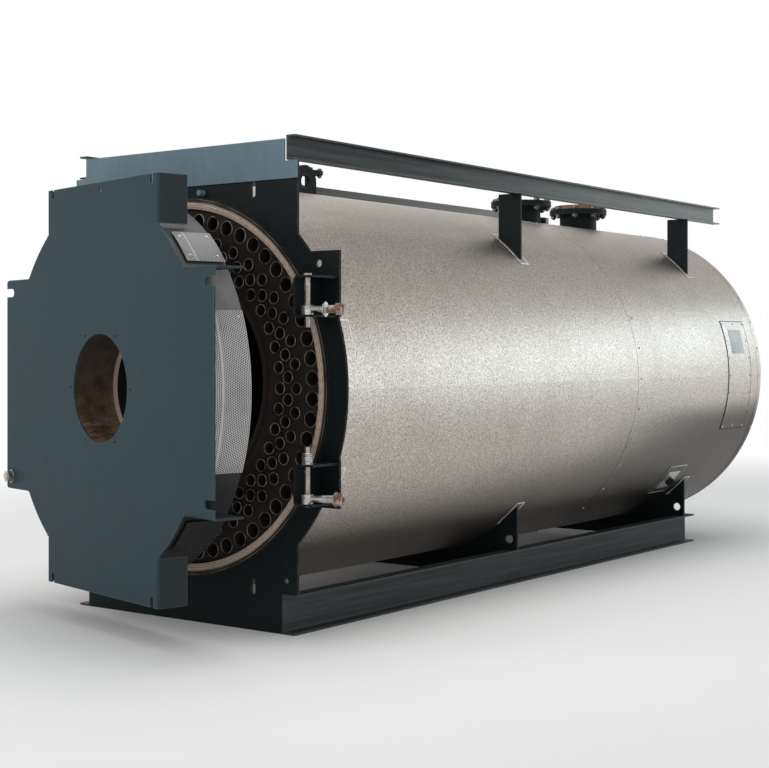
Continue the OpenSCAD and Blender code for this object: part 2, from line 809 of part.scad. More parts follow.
// One curved guard sheet on four spacers, centred on an angle
module guard(mid, half) {
  spacer_d = 16;
  spacer_in = 24;
  spacer_turn = 2;
  guard_in_r = guard_r - guard_t;
  lie_on_axis(door_face_y + guard_front) rotate([0, 0, -mid]) {
    rotate([0, 0, -half]) rotate_extrude(angle = 2 * half, $fn = 180) translate([guard_in_r, 0])
      square([guard_t, guard_rear - guard_front]);
    for (a = [-half + spacer_turn, half - spacer_turn], y = [spacer_in, guard_rear - guard_front - spacer_in])
      rotate([0, 0, a]) translate([0, 0, y]) rotate([0, 90, 0]) translate([0, 0, drum_r + seat])
      cylinder(d = spacer_d, h = guard_in_r - drum_r, $fn = 32);
  }
}

module door_guards() {
  side_half = 23;
  corner_half = 6;
  color(zinc) door_pose() {
    for (mid = [0, 180]) guard(mid, side_half);
    for (mid = [45 : 90 : 315]) guard(mid, corner_half);
  }
}

// The two plates behind the left ear that turn on the pins
module hinge_lugs() {
  half_w = 32;
  color(door_paint) door_pose() for (z = [upper_lug_top - lug_plate_t, lower_stack_z + stack_h + seat])
    translate([-pin_x, 0, axis_h + z]) linear_extrude(lug_plate_t) difference() {
      union() {
        translate([0, -pin_y]) circle(half_w);
        translate([-half_w, door_back_y]) square([2 * half_w, -pin_y - door_back_y]);
      }
      translate([0, -pin_y]) circle(d = pin_d + 2 * seat);
    }
}

// An eye bolt of a given reach on a pin, pointing forward
module eye_bolt(reach) {
  color(bright) difference() {
    union() {
      translate([0, 0, -eye_h / 2]) cylinder(d = eye_d, h = eye_h);
      rotate([90, 0, 0]) cylinder(d = bolt_d, h = reach);
    }
    translate([0, 0, -eye_h]) cylinder(d = pin_d + 2 * seat, h = 2 * eye_h);
  }
}

// A nut with its outer end at far, and a washer that starts at washer_at
module nut_and_washer(far, washer_at) {
  color(bright) rotate([90, 0, 0]) {
    translate([0, 0, far - nut_h]) bored(nut_h) cylinder(d = nut_af / cos(30), h = nut_h, $fn = 6);
    translate([0, 0, washer_at]) bored(washer_t) cylinder(d = washer_d, h = washer_t);
  }
}

// Children bored for a swing bolt
module bored(h) {
  difference() {
    children();
    translate([0, 0, -cut]) cylinder(d = bolt_d + 2 * seat, h = h + 2 * cut);
  }
}

// Children on a right-hand pin at a height, swung out as photographed
module swung_out(z) {
  translate([pin_x, -pin_y, axis_h + z]) rotate([0, 0, bolt_swing]) children();
}

// The washer that a swing bolt's eye lies on
module lift_washer(eye_z) {
  rim = 2;
  color(bright) translate([pin_x, -pin_y, axis_h + eye_z - eye_h / 2 - washer_t]) difference() {
    cylinder(d = eye_d - 2 * rim, h = washer_t);
    translate([0, 0, -cut]) cylinder(d = pin_d + 2 * seat, h = washer_t + 2 * cut);
  }
}

// Children on the lower left pin, pointing along the door's own normal
module hinge_bolt_place() {
  door_pose() translate([-pin_x, -pin_y, axis_h - notch_z]) children();
}

base_rail("left");  // base_rail_left
base_rail("right");  // base_rail_right
for (y = [mid_frame_y, rear_frame_y]) saddle(y);  // saddles
front_plate();
front_header();
stop_pegs();
shell_course(shell_front, course_y - shell_front);  // vessel_shell
shell_course(course_y, vessel_len - course_y);  // vessel_shell_rear
drilled_sheet(sheet_y, true);  // tube_sheet
drilled_sheet(vessel_len - sheet_t, false);  // rear_tube_sheet
outer_tubes();
inner_tubes();
furnace_tube();
gasket_seat();
gasket_rope();
jacket_sheet(plate_back, jacket_seam_y - plate_back);  // jacket_front
jacket_sheet(jacket_seam_y, jacket_len - jacket_seam_y);  // jacket_rear
jacket_end();
cleaning_hatch();
flue_outlet();
top_rail("left");  // top_rail_left
top_rail("right");  // top_rail_right
for (side = SIDES) post(side, mid_frame_y);  // posts_middle
for (side = SIDES) post(side, rear_frame_y);  // posts_rear
lifting_lug();
large_nozzle(flow_y);  // flow_nozzle
large_nozzle(return_y);  // return_nozzle
return_cover();
safety_nozzle();
sensor_pocket();
for (side = SIDES) bracket(side, upper_bracket_z);  // brackets_upper
for (side = SIDES) bracket(side, -lower_bracket_z);  // brackets_lower
hinge_pins();
pin_washers();
door_plate();
door_drum();
door_insulation();
door_guards();
hinge_lugs();
hinge_bolt_place() eye_bolt(hinge_nut_end + thread_proud);  // hinge_bolt
hinge_bolt_place() nut_and_washer(hinge_nut_end, hinge_washer_at);  // hinge_nut
lift_washer(upper_eye_z);  // lift_washer_upper
swung_out(upper_eye_z) eye_bolt(bolt_len - bolt_short);  // swing_bolt_upper
swung_out(upper_eye_z)  // swing_nut_upper
  nut_and_washer(bolt_len, upper_washer_at);
lift_washer(lower_eye_z);  // lift_washer_lower
swung_out(lower_eye_z) eye_bolt(bolt_len - bolt_short);  // swing_bolt_lower
swung_out(lower_eye_z)  // swing_nut_lower
  nut_and_washer(bolt_len, bolt_len - nut_h - washer_t - washer_seat);
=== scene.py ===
"""Dresses the boiler's solids with their finishes, seals, threads, fasteners, welds and sheet trim."""

import json
import math

import bpy
from bpy.props import FloatProperty, FloatVectorProperty, IntProperty, PointerProperty
from mathutils import Matrix, Vector


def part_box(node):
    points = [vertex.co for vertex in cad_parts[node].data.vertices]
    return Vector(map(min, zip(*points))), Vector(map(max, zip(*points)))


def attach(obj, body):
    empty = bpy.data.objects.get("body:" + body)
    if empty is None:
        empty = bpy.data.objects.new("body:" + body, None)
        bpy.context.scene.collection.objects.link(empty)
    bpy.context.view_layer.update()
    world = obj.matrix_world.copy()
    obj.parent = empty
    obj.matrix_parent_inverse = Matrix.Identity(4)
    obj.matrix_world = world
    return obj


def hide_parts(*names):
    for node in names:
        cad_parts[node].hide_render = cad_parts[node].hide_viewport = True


bl_info = {
    "name": "Fire-tube boiler",
    "version": (1, 0, 0),
    "blender": (4, 5, 0),
    "location": "3D View > Sidebar > Boiler",
    "description": "Finishes, fasteners and trim for a horizontal fire-tube boiler",
    "category": "Object",
}

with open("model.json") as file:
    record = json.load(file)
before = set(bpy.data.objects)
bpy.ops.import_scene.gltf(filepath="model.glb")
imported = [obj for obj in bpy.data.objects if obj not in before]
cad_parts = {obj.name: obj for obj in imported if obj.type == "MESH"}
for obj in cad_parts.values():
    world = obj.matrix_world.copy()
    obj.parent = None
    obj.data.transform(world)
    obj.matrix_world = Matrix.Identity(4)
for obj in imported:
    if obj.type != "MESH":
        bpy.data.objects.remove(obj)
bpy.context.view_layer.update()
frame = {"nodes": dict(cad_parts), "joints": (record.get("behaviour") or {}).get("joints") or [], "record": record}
NODES = frame["nodes"]
JOINTS = {joint["name"]: joint for joint in frame["joints"]}
MOUNTS = {mount["name"]: mount for mount in frame["record"]["mounts"]}


def middle(node):
    """The middle of a node's box."""
    low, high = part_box(node)
    return (low + high) / 2


# Places that the trim takes from the solids, and sizes that several pieces share
AXIS_Z = middle("jacket_front").z
JACKET_R = (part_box("jacket_front")[1].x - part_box("jacket_front")[0].x) / 2
JACKET_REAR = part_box("jacket_rear")[1].y
SEAM_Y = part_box("jacket_front")[1].y
PLATE_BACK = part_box("front_plate")[1].y
PLATE_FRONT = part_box("front_plate")[0].y
ROPE_R = (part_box("gasket_rope")[1].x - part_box("gasket_rope")[0].x) / 2
ROPE_WIDTH = 0.031
GUARD_R = 0.778
TRIM_FOOT = JACKET_R - 0.001
HATCH_SKIN = 0.0023
WELD_INSET = 0.004
DOOR_PIN = Vector(JOINTS["door_hinge"]["pos_m"])
DOOR_OPEN = math.radians(JOINTS["door_hinge"]["range_deg"][1])


# Property groups


class BoilerFinishes(bpy.types.PropertyGroup):
    """The colours of the finishes, as linear values."""

    def tint(label, value):
        return FloatVectorProperty(name=label, description=f"Colour of the {label.lower()}", subtype="COLOR",
                                   size=3, min=0.0, max=1.0, default=value)

    door: tint("Door paint", (0.026, 0.052, 0.063))
    # Painted shade: a darker, greyer colour for the door's folded sides.
    flank: tint("Door flank paint", (0.027, 0.036, 0.038))
    plate: tint("Front plate paint", (0.008, 0.013, 0.014))
    # Painted light: the header and stop pegs are lighter than the front plate, standing in for the light they
    # catch.
    header: tint("Header paint", (0.125, 0.205, 0.245))
    rails: tint("Rail paint", (0.026, 0.033, 0.035))
    jacket: tint("Jacket sheet", (0.495, 0.448, 0.400))
    drum: tint("Drum sheet", (0.20, 0.205, 0.20))
    zinc: tint("Zinc plate", (0.62, 0.62, 0.60))
    rust: tint("Rust", (0.27, 0.125, 0.060))
    soot: tint("Fired steel", (0.020, 0.016, 0.013))
    rope: tint("Rope seal", (0.74, 0.60, 0.50))
    refractory: tint("Refractory", (0.120, 0.070, 0.042))


class BoilerTrim(bpy.types.PropertyGroup):
    """Sizes of the fasteners and sheet trim."""

    def size(label, value, about):
        return FloatProperty(name=label, description=about, subtype="DISTANCE", unit="LENGTH",
                             min=0.0, default=value)

    thread_pitch: size("Thread pitch", 0.0035, "Pitch of the swing bolts' thread")
    weld_r: size("Weld size", 0.0045, "Half width of a weld bead")
    sheet: size("Trim sheet", 0.0016, "Thickness of the trim strips on the jacket")
    screw_r: size("Screw head", 0.0055, "Radius of a sheet-metal screw's head")
    screw_pitch: size("Screw pitch", 0.16, "Distance between the screws along a seam")
    hole_pitch: size("Perforation pitch", 0.0092, "Distance between holes in the guards")
    hole_r: size("Perforation radius", 0.0031, "Radius of a hole in the guards")
    strands: IntProperty(name="Strands", description="Strands across the rope seal", default=4, min=2, max=8)


class BoilerStage(bpy.types.PropertyGroup):
    """The camera and the lights."""

    camera_at: FloatVectorProperty(name="Camera", description="Place of the camera", subtype="XYZ",
                                   unit="LENGTH", size=3, default=(4.5086, -4.6642, 1.1536))
    camera_turn: FloatProperty(name="Camera turn", description="Turn of the level camera to the left of +Y",
                               subtype="ANGLE", default=math.radians(36.47))
    lens: FloatProperty(name="Lens", description="Focal length on a 36 mm sensor", default=71.22, min=10.0)
    lift: FloatProperty(name="Lens shift", description="Vertical shift of the picture", default=-0.0489)
    key: FloatProperty(name="Side light", description="Power of the long side light", default=57.0, min=0.0)
    fill: FloatProperty(name="Front light", description="Power of the front light", default=110.0, min=0.0)
    top: FloatProperty(name="Top light", description="Power of the light overhead", default=190.0, min=0.0)


# Shader maths


class Sock:
    """A node's output that Python's operators join to Math nodes."""

    def __init__(self, finish, socket):
        self.finish = finish
        self.socket = socket

    def math(self, operation, *values):
        return self.finish.node("ShaderNodeMath", {"operation": operation}, dict(enumerate((self, *values))))

    def __add__(self, other):
        return self.math("ADD", other)

    __radd__ = __add__

    def __mul__(self, other):
        return self.math("MULTIPLY", other)

    __rmul__ = __mul__

    def __sub__(self, other):
        return self.math("SUBTRACT", other)

    def __rsub__(self, other):
        return self.finish.node("ShaderNodeMath", {"operation": "SUBTRACT"}, {0: other, 1: self})

    def __truediv__(self, other):
        return self.math("DIVIDE", other)

    def __rtruediv__(self, other):
        return self.finish.node("ShaderNodeMath", {"operation": "DIVIDE"}, {0: other, 1: self})

    def __lt__(self, other):
        return self.math("LESS_THAN", other)

    def __gt__(self, other):
        return self.math("GREATER_THAN", other)

    def smooth(self, low, high):
        """0 below low and 1 above high, eased between them."""
        settings = {"interpolation_type": "SMOOTHSTEP"}
        values = {"Value": self, "From Min": low, "From Max": high}
        return self.finish.node("ShaderNodeMapRange", settings, values)


class Finish:
    """One material, built node by node round its Principled shader."""

    owner = "materials"
    shader_name = "Principled BSDF"

    def __init__(self, name):
        self.material = getattr(bpy.data, self.owner).new(name)
        self.material.use_nodes = True
        self.tree = self.material.node_tree
        self.shader = self.tree.nodes[self.shader_name]

    def node(self, kind, settings=None, values=None, output=0):
        """A node of a kind with its settings, the values or links of its sockets, and one output or all."""
        made = self.tree.nodes.new(kind)
        for name, value in (settings or {}).items():
            if name == "stops":
                self.set_stops(made.color_ramp, value)
            else:
                setattr(made, name, value)
        for name, value in (values or {}).items():
            self.feed(made.inputs[name], value)
        if output is None:
            return [Sock(self, socket) for socket in made.outputs]
        return Sock(self, made.outputs[output])

    def feed(self, socket, value):
        if isinstance(value, Sock):
            self.tree.links.new(value.socket, socket)
        elif isinstance(value, (tuple, list)) and socket.type == "RGBA" and len(value) == 3:
            socket.default_value = (*value, 1.0)
        else:
            socket.default_value = value

    @staticmethod
    def set_stops(ramp, stops):
        while len(ramp.elements) < len(stops):
            ramp.elements.new(1.0)
        for element, (place, grey) in zip(ramp.elements, stops):
            element.position = place
            element.color = (grey, grey, grey, 1.0)

    def set(self, **sockets):
        """Feeds the shader's sockets, named in lower case with underscores."""
        for name, value in sockets.items():
            title = name.replace("_", " ").title().replace("Ior", "IOR")
            self.feed(self.shader.inputs[title], value)

    def place(self):
        """Where a point lies on the object at rest, in metres."""
        return self.node("ShaderNodeTexCoord", output="Object")

    def noise(self, scale, detail=4.0, rough=0.55, stretch=None):
        """Cloudy noise about 0.5, with a cell of 1 / scale metres."""
        at = self.place()
        if stretch:
            at = self.node("ShaderNodeMapping", {}, {"Vector": at, "Scale": stretch})
        values = {"Vector": at, "Scale": scale, "Detail": detail, "Roughness": rough}
        return self.node("ShaderNodeTexNoise", {}, values)

    def cells(self, scale):
        """Distance to the nearest of scattered points."""
        return self.node("ShaderNodeTexVoronoi", {}, {"Vector": self.place(), "Scale": scale})

    def mix(self, share, first, second):
        """A colour from first to second."""
        settings = {"data_type": "RGBA"}
        return self.node("ShaderNodeMix", settings, {0: share, 6: first, 7: second}, output=2)

    def bump(self, height, depth, strength=1.0):
        """A normal from heights, in metres where height runs from 0 to 1."""
        return self.node("ShaderNodeBump", {}, {"Height": height, "Distance": depth, "Strength": strength})

    def split(self, vector):
        """The three numbers of a vector."""
        return self.node("ShaderNodeSeparateXYZ", {}, {0: vector}, output=None)

    def distance(self, point):
        """How far a place lies from a point."""
        settings = {"operation": "DISTANCE"}
        return self.node("ShaderNodeVectorMath", settings, {0: self.place(), 1: point}, output=1)

    def from_axis(self):
        """How far a place lies from the boiler's axis."""
        x, y, z = self.split(self.place())
        return (x * x + (z - AXIS_Z) * (z - AXIS_Z)).math("SQRT")

    def edge(self, radius):
        """0 on flat faces, rising to 1 along edges."""
        soft = self.node("ShaderNodeBevel", {"samples": 6}, {"Radius": radius})
        true = self.node("ShaderNodeNewGeometry", output="Normal")
        settings = {"operation": "DOT_PRODUCT"}
        facing = self.node("ShaderNodeVectorMath", settings, {0: soft, 1: true}, output=1)
        return (1.0 - facing).smooth(0.02, 0.30)

    def to_door_frame(self):
        """A point's place with the door turned shut."""
        settings = {"rotation_type": "Z_AXIS"}
        values = {"Vector": self.place(), "Center": DOOR_PIN, "Angle": DOOR_OPEN}
        return self.node("ShaderNodeVectorRotate", settings, values)


class World(Finish):
    """The light from all round, built in the same way."""

    owner = "worlds"
    shader_name = "Background"


# Finishes


def times(factor, colour):
    """A lighter or darker shade of a colour."""
    return tuple(min(1.0, factor * c) for c in colour)


def painted(name, colour, sheen=0.48, dust=0.10, gloss=0.22, edge_highlight=0.0, streaks=0.0, painted_rear_light=0.0,
            flank=None):
    """Satin paint on steel plate: faint orange peel, dust clouds, scuffs, chipped edges, and a painted highlight
    along the edges.

    A rolled section adds streaks along it and lightens towards its rear as painted light. The door's folded
    flanks get a darker, greyer colour as painted shade.
    """
    finish = Finish(name)
    cloud = finish.noise(2.2, 6.0, 0.6)
    scuff = finish.noise(14.0, 8.0, 0.7, stretch=(1.0, 1.0, 0.25))
    peel = finish.noise(420.0, 2.0)
    dusty = cloud.smooth(0.42, 0.78) * dust
    worn = finish.edge(0.003) * finish.noise(38.0, 5.0).smooth(0.45, 0.62) * 0.5
    pale = tuple(0.55 * c + 0.10 for c in colour)
    base = finish.mix(scuff.smooth(0.35, 0.70), times(0.86, colour), colour)
    # Painted shade: the door's folded sides are darker and greyer, standing in for the shade on them.
    if flank:
        folded = finish.split(finish.to_door_frame())[1].smooth(DOOR_FACE + 0.007, DOOR_FACE + 0.012)
        base = finish.mix(folded, base, flank)
    if streaks:
        line = finish.noise(70.0, 4.0, 0.6, stretch=(1.0, 0.02, 1.0)).smooth(0.38, 0.66)
        # Painted light: the rail lightens towards its rear, standing in for the light on its far part.
        lit_towards_rear = finish.split(finish.place())[1].smooth(0.6, 3.8) * painted_rear_light
        base = finish.mix(line * streaks + lit_towards_rear, base, (0.24, 0.25, 0.235))
    base = finish.mix(dusty, base, pale)
    # Painted highlight: a lighter line along every edge stands in for light caught on rounded edges and bends.
    if edge_highlight:
        base = finish.mix(finish.edge(0.008) * edge_highlight, base, tuple(1.6 * c + 0.05 for c in colour))
    base = finish.mix(worn, base, (0.33, 0.32, 0.30))
    finish.set(base_color=base, specular_ior_level=gloss)
    finish.set(roughness=cloud * 0.16 + scuff * 0.10 + (sheen - 0.13))
    finish.set(normal=finish.bump(peel * 0.6 + scuff * 0.4, 0.00022, 0.8))
    return finish.material


def jacket_metal(name, colour, shade_belly_and_rear=True):
    """Stucco-embossed sheet: bright and dark grains, soft waves, warm crown bands as a painted reflection, and
    painted shade on the belly and lower rear where asked.
    """
    finish = Finish(name)
    grain = finish.cells(112.0)
    fine = finish.noise(150.0, 3.0, 0.7)
    wave = finish.noise(1.3, 3.0, 0.5, stretch=(1.0, 0.35, 1.0))
    cloud = finish.noise(4.0, 5.0, 0.6)
    speck = grain.smooth(0.12, 0.72) * 0.5 + fine.smooth(0.36, 0.64) * 0.5
    base = finish.mix(speck, times(0.50, colour), times(1.45, colour))
    base = finish.mix(cloud.smooth(0.46, 0.80) * 0.25, base, (0.33, 0.29, 0.25))
    x, y, z = finish.split(finish.place())
    # Painted reflection: warm bands on the crown stand in for the rails reflected in the sheet.
    crown = z.smooth(AXIS_Z + 0.55, AXIS_Z + 0.78) * (0.75 + ((z - AXIS_Z) * 62.0).math("SINE") * 0.25)
    base = finish.mix(crown * 0.45, base, (0.40, 0.335, 0.27))
    if shade_belly_and_rear:
        # Painted shade: the belly darkens, and the lower rear darkens more, standing in for shade and a dark
        # reflection from below.
        low = 1.0 - (z - y * 0.09).smooth(AXIS_Z - 0.70, AXIS_Z - 0.42)
        base = finish.mix(low * (y * 0.10 + 0.38), base, (0.105, 0.085, 0.069))
        rear = y.smooth(1.9, 3.4) * (1.0 - z.smooth(AXIS_Z - 0.27, AXIS_Z - 0.11))
        base = finish.mix(rear * 0.70, base, (0.037, 0.030, 0.025))
    finish.set(base_color=base, metallic=0.95, roughness=0.23 + speck * 0.08 + cloud * 0.10)
    finish.set(normal=finish.bump(speck + wave * 3.0, 0.0012, 0.5))
    return finish.material


def sheet_metal(name, colour, rough=0.42, metal=0.85, shade_low_and_high=False):
    """Plain rolled sheet with faint rolling marks and hand marks, darkened low and high as painted shade where
    asked.
    """
    finish = Finish(name)
    roll = finish.noise(60.0, 4.0, 0.6, stretch=(0.06, 1.0, 1.0))
    cloud = finish.noise(4.5, 6.0, 0.65)
    base = finish.mix(cloud.smooth(0.35, 0.70), colour, times(0.70, colour))
    if shade_low_and_high:
        # Painted shade: darker below and above the axis, standing in for shade on the drum.
        height = finish.split(finish.place())[2]
        lower = (1.0 - height.smooth(AXIS_Z - 0.45, AXIS_Z + 0.35)) * 0.93
        upper = height.smooth(AXIS_Z + 0.36, AXIS_Z + 0.52) * 0.72
        base = finish.mix(lower.math("MAXIMUM", upper), base, (0.008, 0.009, 0.009))
        finish.set(specular_ior_level=0.12)
    finish.set(base_color=base, metallic=metal, roughness=roll * 0.12 + cloud * 0.14 + (rough - 0.13))
    finish.set(normal=finish.bump(roll, 0.00025, 0.6))
    return finish.material


def perforated(name, colour, pitch, radius):
    """Guard sheet with staggered round holes painted near black as painted shade, a plain fold, and painted shade
    high and low.
    """
    finish = Finish(name)
    x, y, z = finish.split(finish.to_door_frame())
    around = (z - AXIS_Z).math("ARCTAN2", x) * (GUARD_R - 0.001)
    row = pitch * math.sqrt(3.0)

    def nearest(shift):
        across = ((around / pitch + shift).math("FRACT") - 0.5) * pitch
        along = ((y / row + shift).math("FRACT") - 0.5) * row
        return (across * across + along * along).math("SQRT")

    distance = nearest(0.0).math("MINIMUM", nearest(0.5))
    behind = y - (DOOR_FACE + 0.083)
    fold = behind.math("ABSOLUTE") < 0.004
    # The holes are painted near black as painted shade in the openings.
    hole = (1.0 - distance.smooth(radius * 0.85, radius * 1.15)) * (1.0 - fold)
    cloud = finish.noise(6.0, 5.0)
    base = finish.mix(cloud.smooth(0.35, 0.70), colour, times(0.75, colour))
    # Painted shade: the guard darkens high and low, standing in for shade on it.
    above = z.smooth(AXIS_Z + 0.36, AXIS_Z + 0.50) * 0.42
    below = (1.0 - z.smooth(AXIS_Z - 0.50, AXIS_Z - 0.36)) * 0.985
    sooty = above.math("MAXIMUM", below)
    base = finish.mix(hole.math("MAXIMUM", sooty), base, (0.012, 0.012, 0.012))
    finish.set(base_color=base, metallic=0.45 - hole * 0.45, roughness=cloud * 0.16 + 0.38)
    finish.set(specular_ior_level=0.15)
    finish.set(normal=finish.bump(1.0 - hole, 0.0006, 0.5))
    return finish.material


def zinc_plate(name, zinc, rust, rusty, pin=None, rust_from=0.0):
    """Zinc-plated steel with white bloom, and rust in patches that may start at a distance from a pin."""
    finish = Finish(name)
    bloom = finish.noise(45.0, 6.0, 0.65)
    patch = finish.noise(30.0, 7.0, 0.7)
    fleck = finish.noise(220.0, 4.0, 0.7)
    rusted = (patch * 0.75 + fleck * 0.25).smooth(0.62 - rusty * 0.5, 0.74 - rusty * 0.5)
    if pin is not None:
        rusted = rusted * finish.distance(pin).smooth(rust_from - 0.002, rust_from + 0.002)
    plate = finish.mix(bloom.smooth(0.35, 0.65), times(0.62, zinc), zinc)
    scale = finish.mix(fleck.smooth(0.35, 0.65), times(0.45, rust), rust)
    finish.set(base_color=finish.mix(rusted, plate, scale), metallic=1.0 - rusted * 0.92)
    finish.set(roughness=bloom * 0.22 + 0.18 + rusted * 0.42)
    finish.set(normal=finish.bump(fleck * rusted + bloom * 0.3, 0.0005, 0.7))
    return finish.material


def fired_steel(name, soot, rust, bright_to=None, turned=False):
    """Mill-scaled steel that is sooty inside, with rust blooms and bright scraped rims, or bright rings painted as
    highlights.
    """
    finish = Finish(name)
    cloud = finish.noise(7.0, 7.0, 0.7)
    grit = finish.noise(160.0, 5.0, 0.7)
    bloom = (cloud * 0.7 + grit * 0.3).smooth(0.50, 0.66)
    base = finish.mix(bloom * 0.55, soot, times(0.22, rust))
    base = finish.mix(finish.noise(24.0, 6.0).smooth(0.60, 0.74) * 0.5, base, times(0.40, rust))
    rough = 0.62 + grit * 0.25
    metal = 0.30
    if bright_to is not None:
        depth = finish.split(finish.place())[1]
        rim = 1.0 - depth.smooth(bright_to, bright_to + 0.004)
        rim = rim * finish.noise(30.0, 4.0).smooth(0.36, 0.58)
        base = finish.mix(rim * 0.8, base, (0.24, 0.23, 0.215))
        rough = rough - rim * 0.36
        metal = rim * 0.6 + 0.30
    if turned:
        # Painted highlight: bright concentric rings stand in for the light lines along the seat's edges and the
        # shell's lip.
        ring_pitch = 0.0105
        ring = (finish.from_axis() * (2 * math.pi / ring_pitch)).math("SINE").smooth(0.55, 0.95)
        ring = ring * finish.noise(9.0, 4.0).smooth(0.36, 0.62)
        base = finish.mix(ring * 0.8, base, (0.34, 0.30, 0.26))
    finish.set(base_color=base, roughness=rough, metallic=metal)
    finish.set(normal=finish.bump(grit * 0.5 + cloud * 0.5, 0.0012, 0.8))
    return finish.material


def rolled_rim(name):
    """The rolled and scraped lips of the tubes, bright where the brush has passed and sooty between."""
    finish = Finish(name)
    brushed = finish.noise(26.0, 5.0, 0.65).smooth(0.36, 0.60)
    grit = finish.noise(300.0, 4.0, 0.7)
    base = finish.mix(brushed, (0.045, 0.036, 0.030), (0.46, 0.44, 0.41))
    finish.set(base_color=base, metallic=brushed * 0.35 + 0.60, roughness=grit * 0.20 + 0.20)
    finish.set(normal=finish.bump(grit, 0.0004, 0.6))
    return finish.material


def highlight_bead(name):
    """Near white along the cut edges of the sheet, a painted highlight for the light on those edges, greyed by
    dust.
    """
    finish = Finish(name)
    dust = finish.noise(35.0, 5.0, 0.65)
    base = finish.mix(dust.smooth(0.42, 0.75), (0.88, 0.88, 0.86), (0.55, 0.54, 0.51))
    finish.set(base_color=base, roughness=0.45 + dust * 0.2)
    finish.set(normal=finish.bump(dust, 0.0008, 0.5))
    return finish.material


def rope_fibre(name, colour, strands):
    """Braided glass-fibre rope with shaded lines between its strands, scorched here and there."""
    finish = Finish(name)
    turns = (ROPE_R - finish.from_axis()) * (math.pi * strands / ROPE_WIDTH)
    strand = turns.math("SINE").math("ABSOLUTE")
    fibre = finish.noise(520.0, 3.0, 0.6)
    cloud = finish.noise(6.0, 5.0, 0.6)
    base = finish.mix(fibre.smooth(0.30, 0.70), times(0.55, colour), colour)
    base = finish.mix(cloud.smooth(0.48, 0.80) * 0.5, base, (0.34, 0.20, 0.13))
    base = finish.mix((1.0 - strand.smooth(0.10, 0.62)) * 0.75, base, (0.13, 0.075, 0.05))
    finish.set(base_color=base, roughness=0.92, sheen_weight=0.25)
    finish.set(normal=finish.bump(fibre, 0.0008, 0.7))
    return finish.material


def cast_refractory(name, colour):
    """Rammed brown refractory with pits and pale scuffs, darker above in streaks, paler below as painted light,
    and a pale lip at its inner end.
    """
    finish = Finish(name)
    cloud = finish.noise(9.0, 7.0, 0.7)
    pit = finish.cells(70.0)
    grit = finish.noise(240.0, 4.0, 0.7)
    pale = times(3.0, colour)
    base = finish.mix(cloud.smooth(0.36, 0.66), times(0.30, colour), colour)
    base = finish.mix((cloud * 0.6 + grit * 0.4).smooth(0.56, 0.72) * 0.55, base, pale)
    x, y, z = finish.split(finish.to_door_frame())
    streak = finish.noise(26.0, 6.0, 0.7, stretch=(1.0, 0.2, 1.0))
    # Darker above the axis, in streaks.
    soot = z.smooth(AXIS_Z - 0.10, AXIS_Z + 0.12) * (streak * 0.7 + 0.35)
    base = finish.mix(soot, base, (0.016, 0.014, 0.012))
    # Painted light: paler below the axis in streaks, standing in for the light falling on the lower part.
    worn = (1.0 - z.smooth(AXIS_Z - 0.19, AXIS_Z - 0.06)) * streak.smooth(0.40, 0.62)
    base = finish.mix(worn * 0.6, base, pale)
    lip = y.smooth(LINING_REAR - 0.023, LINING_REAR - 0.017) * (1.0 - streak.smooth(0.66, 0.74))
    base = finish.mix(lip * 0.8, base, (0.46, 0.37, 0.30))
    finish.set(base_color=base, roughness=0.93)
    finish.set(normal=finish.bump(pit.smooth(0.0, 0.4) * 0.6 + cloud + grit * 0.4, 0.004, 0.8))
    return finish.material


def hard_board(name):
    """Brown fibre board with a felted surface."""
    finish = Finish(name)
    fibre = finish.noise(260.0, 4.0, 0.7, stretch=(0.3, 1.0, 1.0))
    cloud = finish.noise(9.0, 5.0)
    base = finish.mix(fibre.smooth(0.3, 0.7), (0.16, 0.075, 0.035), (0.33, 0.175, 0.09))
    base = finish.mix(cloud.smooth(0.5, 0.75) * 0.4, base, (0.10, 0.06, 0.04))
    finish.set(base_color=base, roughness=0.85)
    finish.set(normal=finish.bump(fibre, 0.0006, 0.6))
    return finish.material


def closed_door_y(point):
    """How far back a point of the door lies once the door is shut."""
    turn = Matrix.Rotation(DOOR_OPEN, 3, "Z")
    return (turn @ (Vector(point) - DOOR_PIN)).y + DOOR_PIN.y


DOOR_FACE = closed_door_y(MOUNTS["burner_bolts"]["pos_m"])
LINING_REAR = max(closed_door_y(v.co) for v in NODES["door_insulation"].data.vertices)


def bolt_pin(level):
    """The place of a swing bolt's pin."""
    return Vector(JOINTS[f"{level}_bolt_swing"]["pos_m"])


